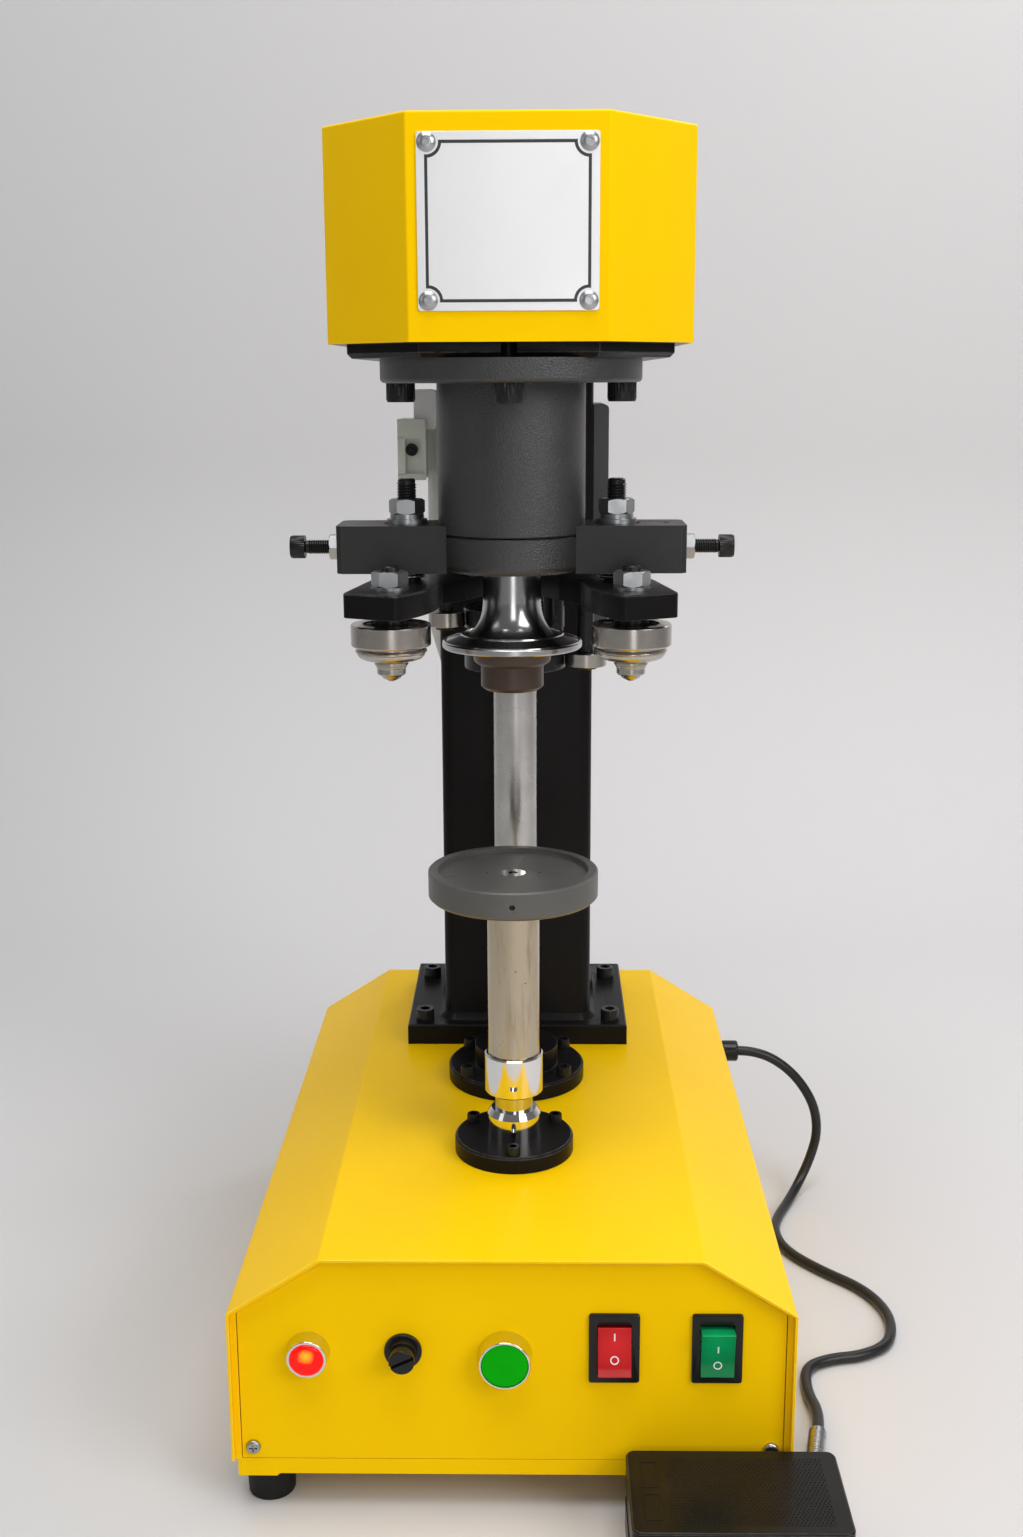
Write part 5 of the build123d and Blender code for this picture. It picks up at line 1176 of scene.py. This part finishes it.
def addSwitchFace(look):
    (lowX, lowZ), (highX, highZ) = look["low"], look["high"]
    (inLowX, inLowZ), (inHighX, inHighZ) = look["inLow"], look["inHigh"]
    sideLow, sideHigh = inLowZ - look["lap"], inHighZ + look["lap"]
    bars = (
        ((lowX, inHighZ), (highX, highZ)), ((lowX, lowZ), (highX, inLowZ)),
        ((lowX, sideLow), (inLowX, sideHigh)), ((inHighX, sideLow), (highX, sideHigh)),
    )
    whole = bmesh.new()
    for low, high in bars:
        join(whole, roundedSlab(low, high, look["corner"], look["front"], look["back"]))
    keepShape("switchFrame", whole, "milkyPlastic", "machine", 0.3)
    # A black ring in the hole round the plunger, as its painted shade
    ring = placed(turned(look["holeShade"], 40, closed=True), facing(look["holeShadePlace"], (0, -1, 0)))
    keepShape("switchHoleShade", ring, "blackPlastic", "machine", 0)
    keepShape("switchBracket", roundedSlab(**look["bracket"]), "lightGreyPaint", "machine", 0.3)


addSwitchFace(switchFace)
print("panel and switch details set")


# Studio: a seamless sweep that is clear from behind, and soft lamps
sweep = {
    "front": -4.5, "back": 1.3, "rise": 4, "half": 5, "curve": 0.5, "from": -0.75, "to": 0.45,
    # left is darker than right: painted shade falling on the backdrop
    "left": (0.56, 0.56, 0.56), "right": (0.63, 0.615, 0.62),
    "far": (2.1, 3.6), "farLight": (0.42, 0.42, 0.42),
}


def sweepShape(look):
    shape = bmesh.new()
    shape.edges.new([shape.verts.new((side * look["half"], look["front"], 0)) for side in (-1, 1)])
    foot = look["back"] - look["curve"]
    floor = bmesh.ops.extrude_edge_only(shape, edges=shape.edges[:])
    bmesh.ops.translate(shape, verts=vertsOf(floor), vec=(0, foot - look["front"], 0))
    bend = bmesh.ops.spin(
        shape, geom=vertsOf(floor) + edgesOf(floor), cent=(0, foot, look["curve"]), axis=(1, 0, 0),
        angle=math.pi / 2, steps=16, use_merge=False,
    )
    edges = [item for item in bend["geom_last"] if isinstance(item, bmesh.types.BMEdge)]
    wall = bmesh.ops.extrude_edge_only(shape, edges=edges)
    bmesh.ops.translate(shape, verts=vertsOf(wall), vec=(0, 0, look["rise"]))
    bmesh.ops.remove_doubles(shape, verts=shape.verts, dist=0.0001)
    bmesh.ops.recalc_face_normals(shape, faces=shape.faces)
    lowest = min(shape.faces, key=lambda face: face.calc_center_median().z)
    if lowest.normal.z < 0:
        bmesh.ops.reverse_faces(shape, faces=shape.faces)
    return shape


def sweepPaper(look):
    # Darker to the left as painted shade on the backdrop, a little light of its own far off, and nothing when
    # seen from behind
    constants = {"Specular IOR Level": 0.2, "Roughness": 0.7, "Emission Strength": 1.0}
    material, tree, shader = startMaterial("sweepPaper", constants)
    place = objectPlace(tree)
    # Painted shade: the backdrop darkens towards the left
    across = rangeNode(tree, splitVector(tree, place)["X"], look["from"], look["to"])
    tree.links.new(mixColour(tree, across, look["left"], look["right"]), shader.inputs["Base Color"])
    far = rangeNode(tree, lengthNode(tree, place), *look["far"])
    seen = times(tree, far, tree.nodes.new("ShaderNodeLightPath").outputs["Is Camera Ray"])
    tree.links.new(mixColour(tree, seen, (0.0, 0.0, 0.0), look["farLight"]), shader.inputs["Emission Color"])
    clear = tree.nodes.new("ShaderNodeBsdfTransparent")
    behind = tree.nodes.new("ShaderNodeNewGeometry").outputs["Backfacing"]
    either = tree.nodes.new("ShaderNodeMixShader")
    for index, value in enumerate((behind, shader.outputs["BSDF"], clear.outputs["BSDF"])):
        tree.links.new(value, either.inputs[index])
    tree.links.new(either.outputs["Shader"], tree.nodes["Material Output"].inputs["Surface"])
    return material


def addSweep(look):
    mesh = meshOf("studioSweep", sweepShape(look))
    mesh.shade_smooth()
    mesh.materials.append(sweepPaper(look))
    addObject("studioSweep", mesh)


addSweep(sweep)

lamps = {
    "keyRight": {"place": (1.45, -1.35, 1.35), "aim": (0, 0, 0.3), "size": (1.1, 1.2), "power": 20.5},
    "frontSoft": {"place": (0.2, -2.1, 0.8), "aim": (0, 0, 0.3), "size": (0.5, 1.3), "power": 5},
    "fillLeft": {"place": (-1.7, -0.8, 1.2), "aim": (0, 0, 0.35), "size": (0.6, 1.4), "power": 2.4},
    "topSoft": {"place": (0.05, -0.5, 3.1), "aim": (0, 0.05, 0.3), "size": (2.1, 1.9), "power": 66},
    "rimBack": {"place": (0.9, 1, 1.5), "aim": (0, 0.1, 0.4), "size": (0.4, 0.8), "power": 3},
}


def addLamp(name, lamp):
    data = bpy.data.lights.new(name, "AREA")
    data.shape = "RECTANGLE"
    data.size, data.size_y = lamp["size"]
    data.energy = lamp["power"]
    item = addObject(name, data)
    item.location = lamp["place"]
    away = Vector(lamp["aim"]) - Vector(lamp["place"])
    item.rotation_euler = away.to_track_quat("-Z", "Y").to_euler()


for name, lamp in lamps.items():
    addLamp(name, lamp)

world = {"light": (0.28, 0.28, 0.285), "shown": (0.55, 0.55, 0.555), "mirrored": (0.16, 0.16, 0.165)}


def addWorld(look):
    place = bpy.data.worlds.new("studio")
    place.use_nodes = True
    bpy.context.scene.world = place
    tree = place.node_tree
    back = tree.nodes["Background"]
    path = tree.nodes.new("ShaderNodeLightPath")
    mirrored = mixColour(tree, path.outputs["Is Glossy Ray"], look["light"], look["mirrored"])
    colour = mixColour(tree, path.outputs["Is Camera Ray"], mirrored, look["shown"])
    tree.links.new(colour, back.inputs["Color"])
    back.inputs["Strength"].default_value = 1.0


addWorld(world)
print("studio set")
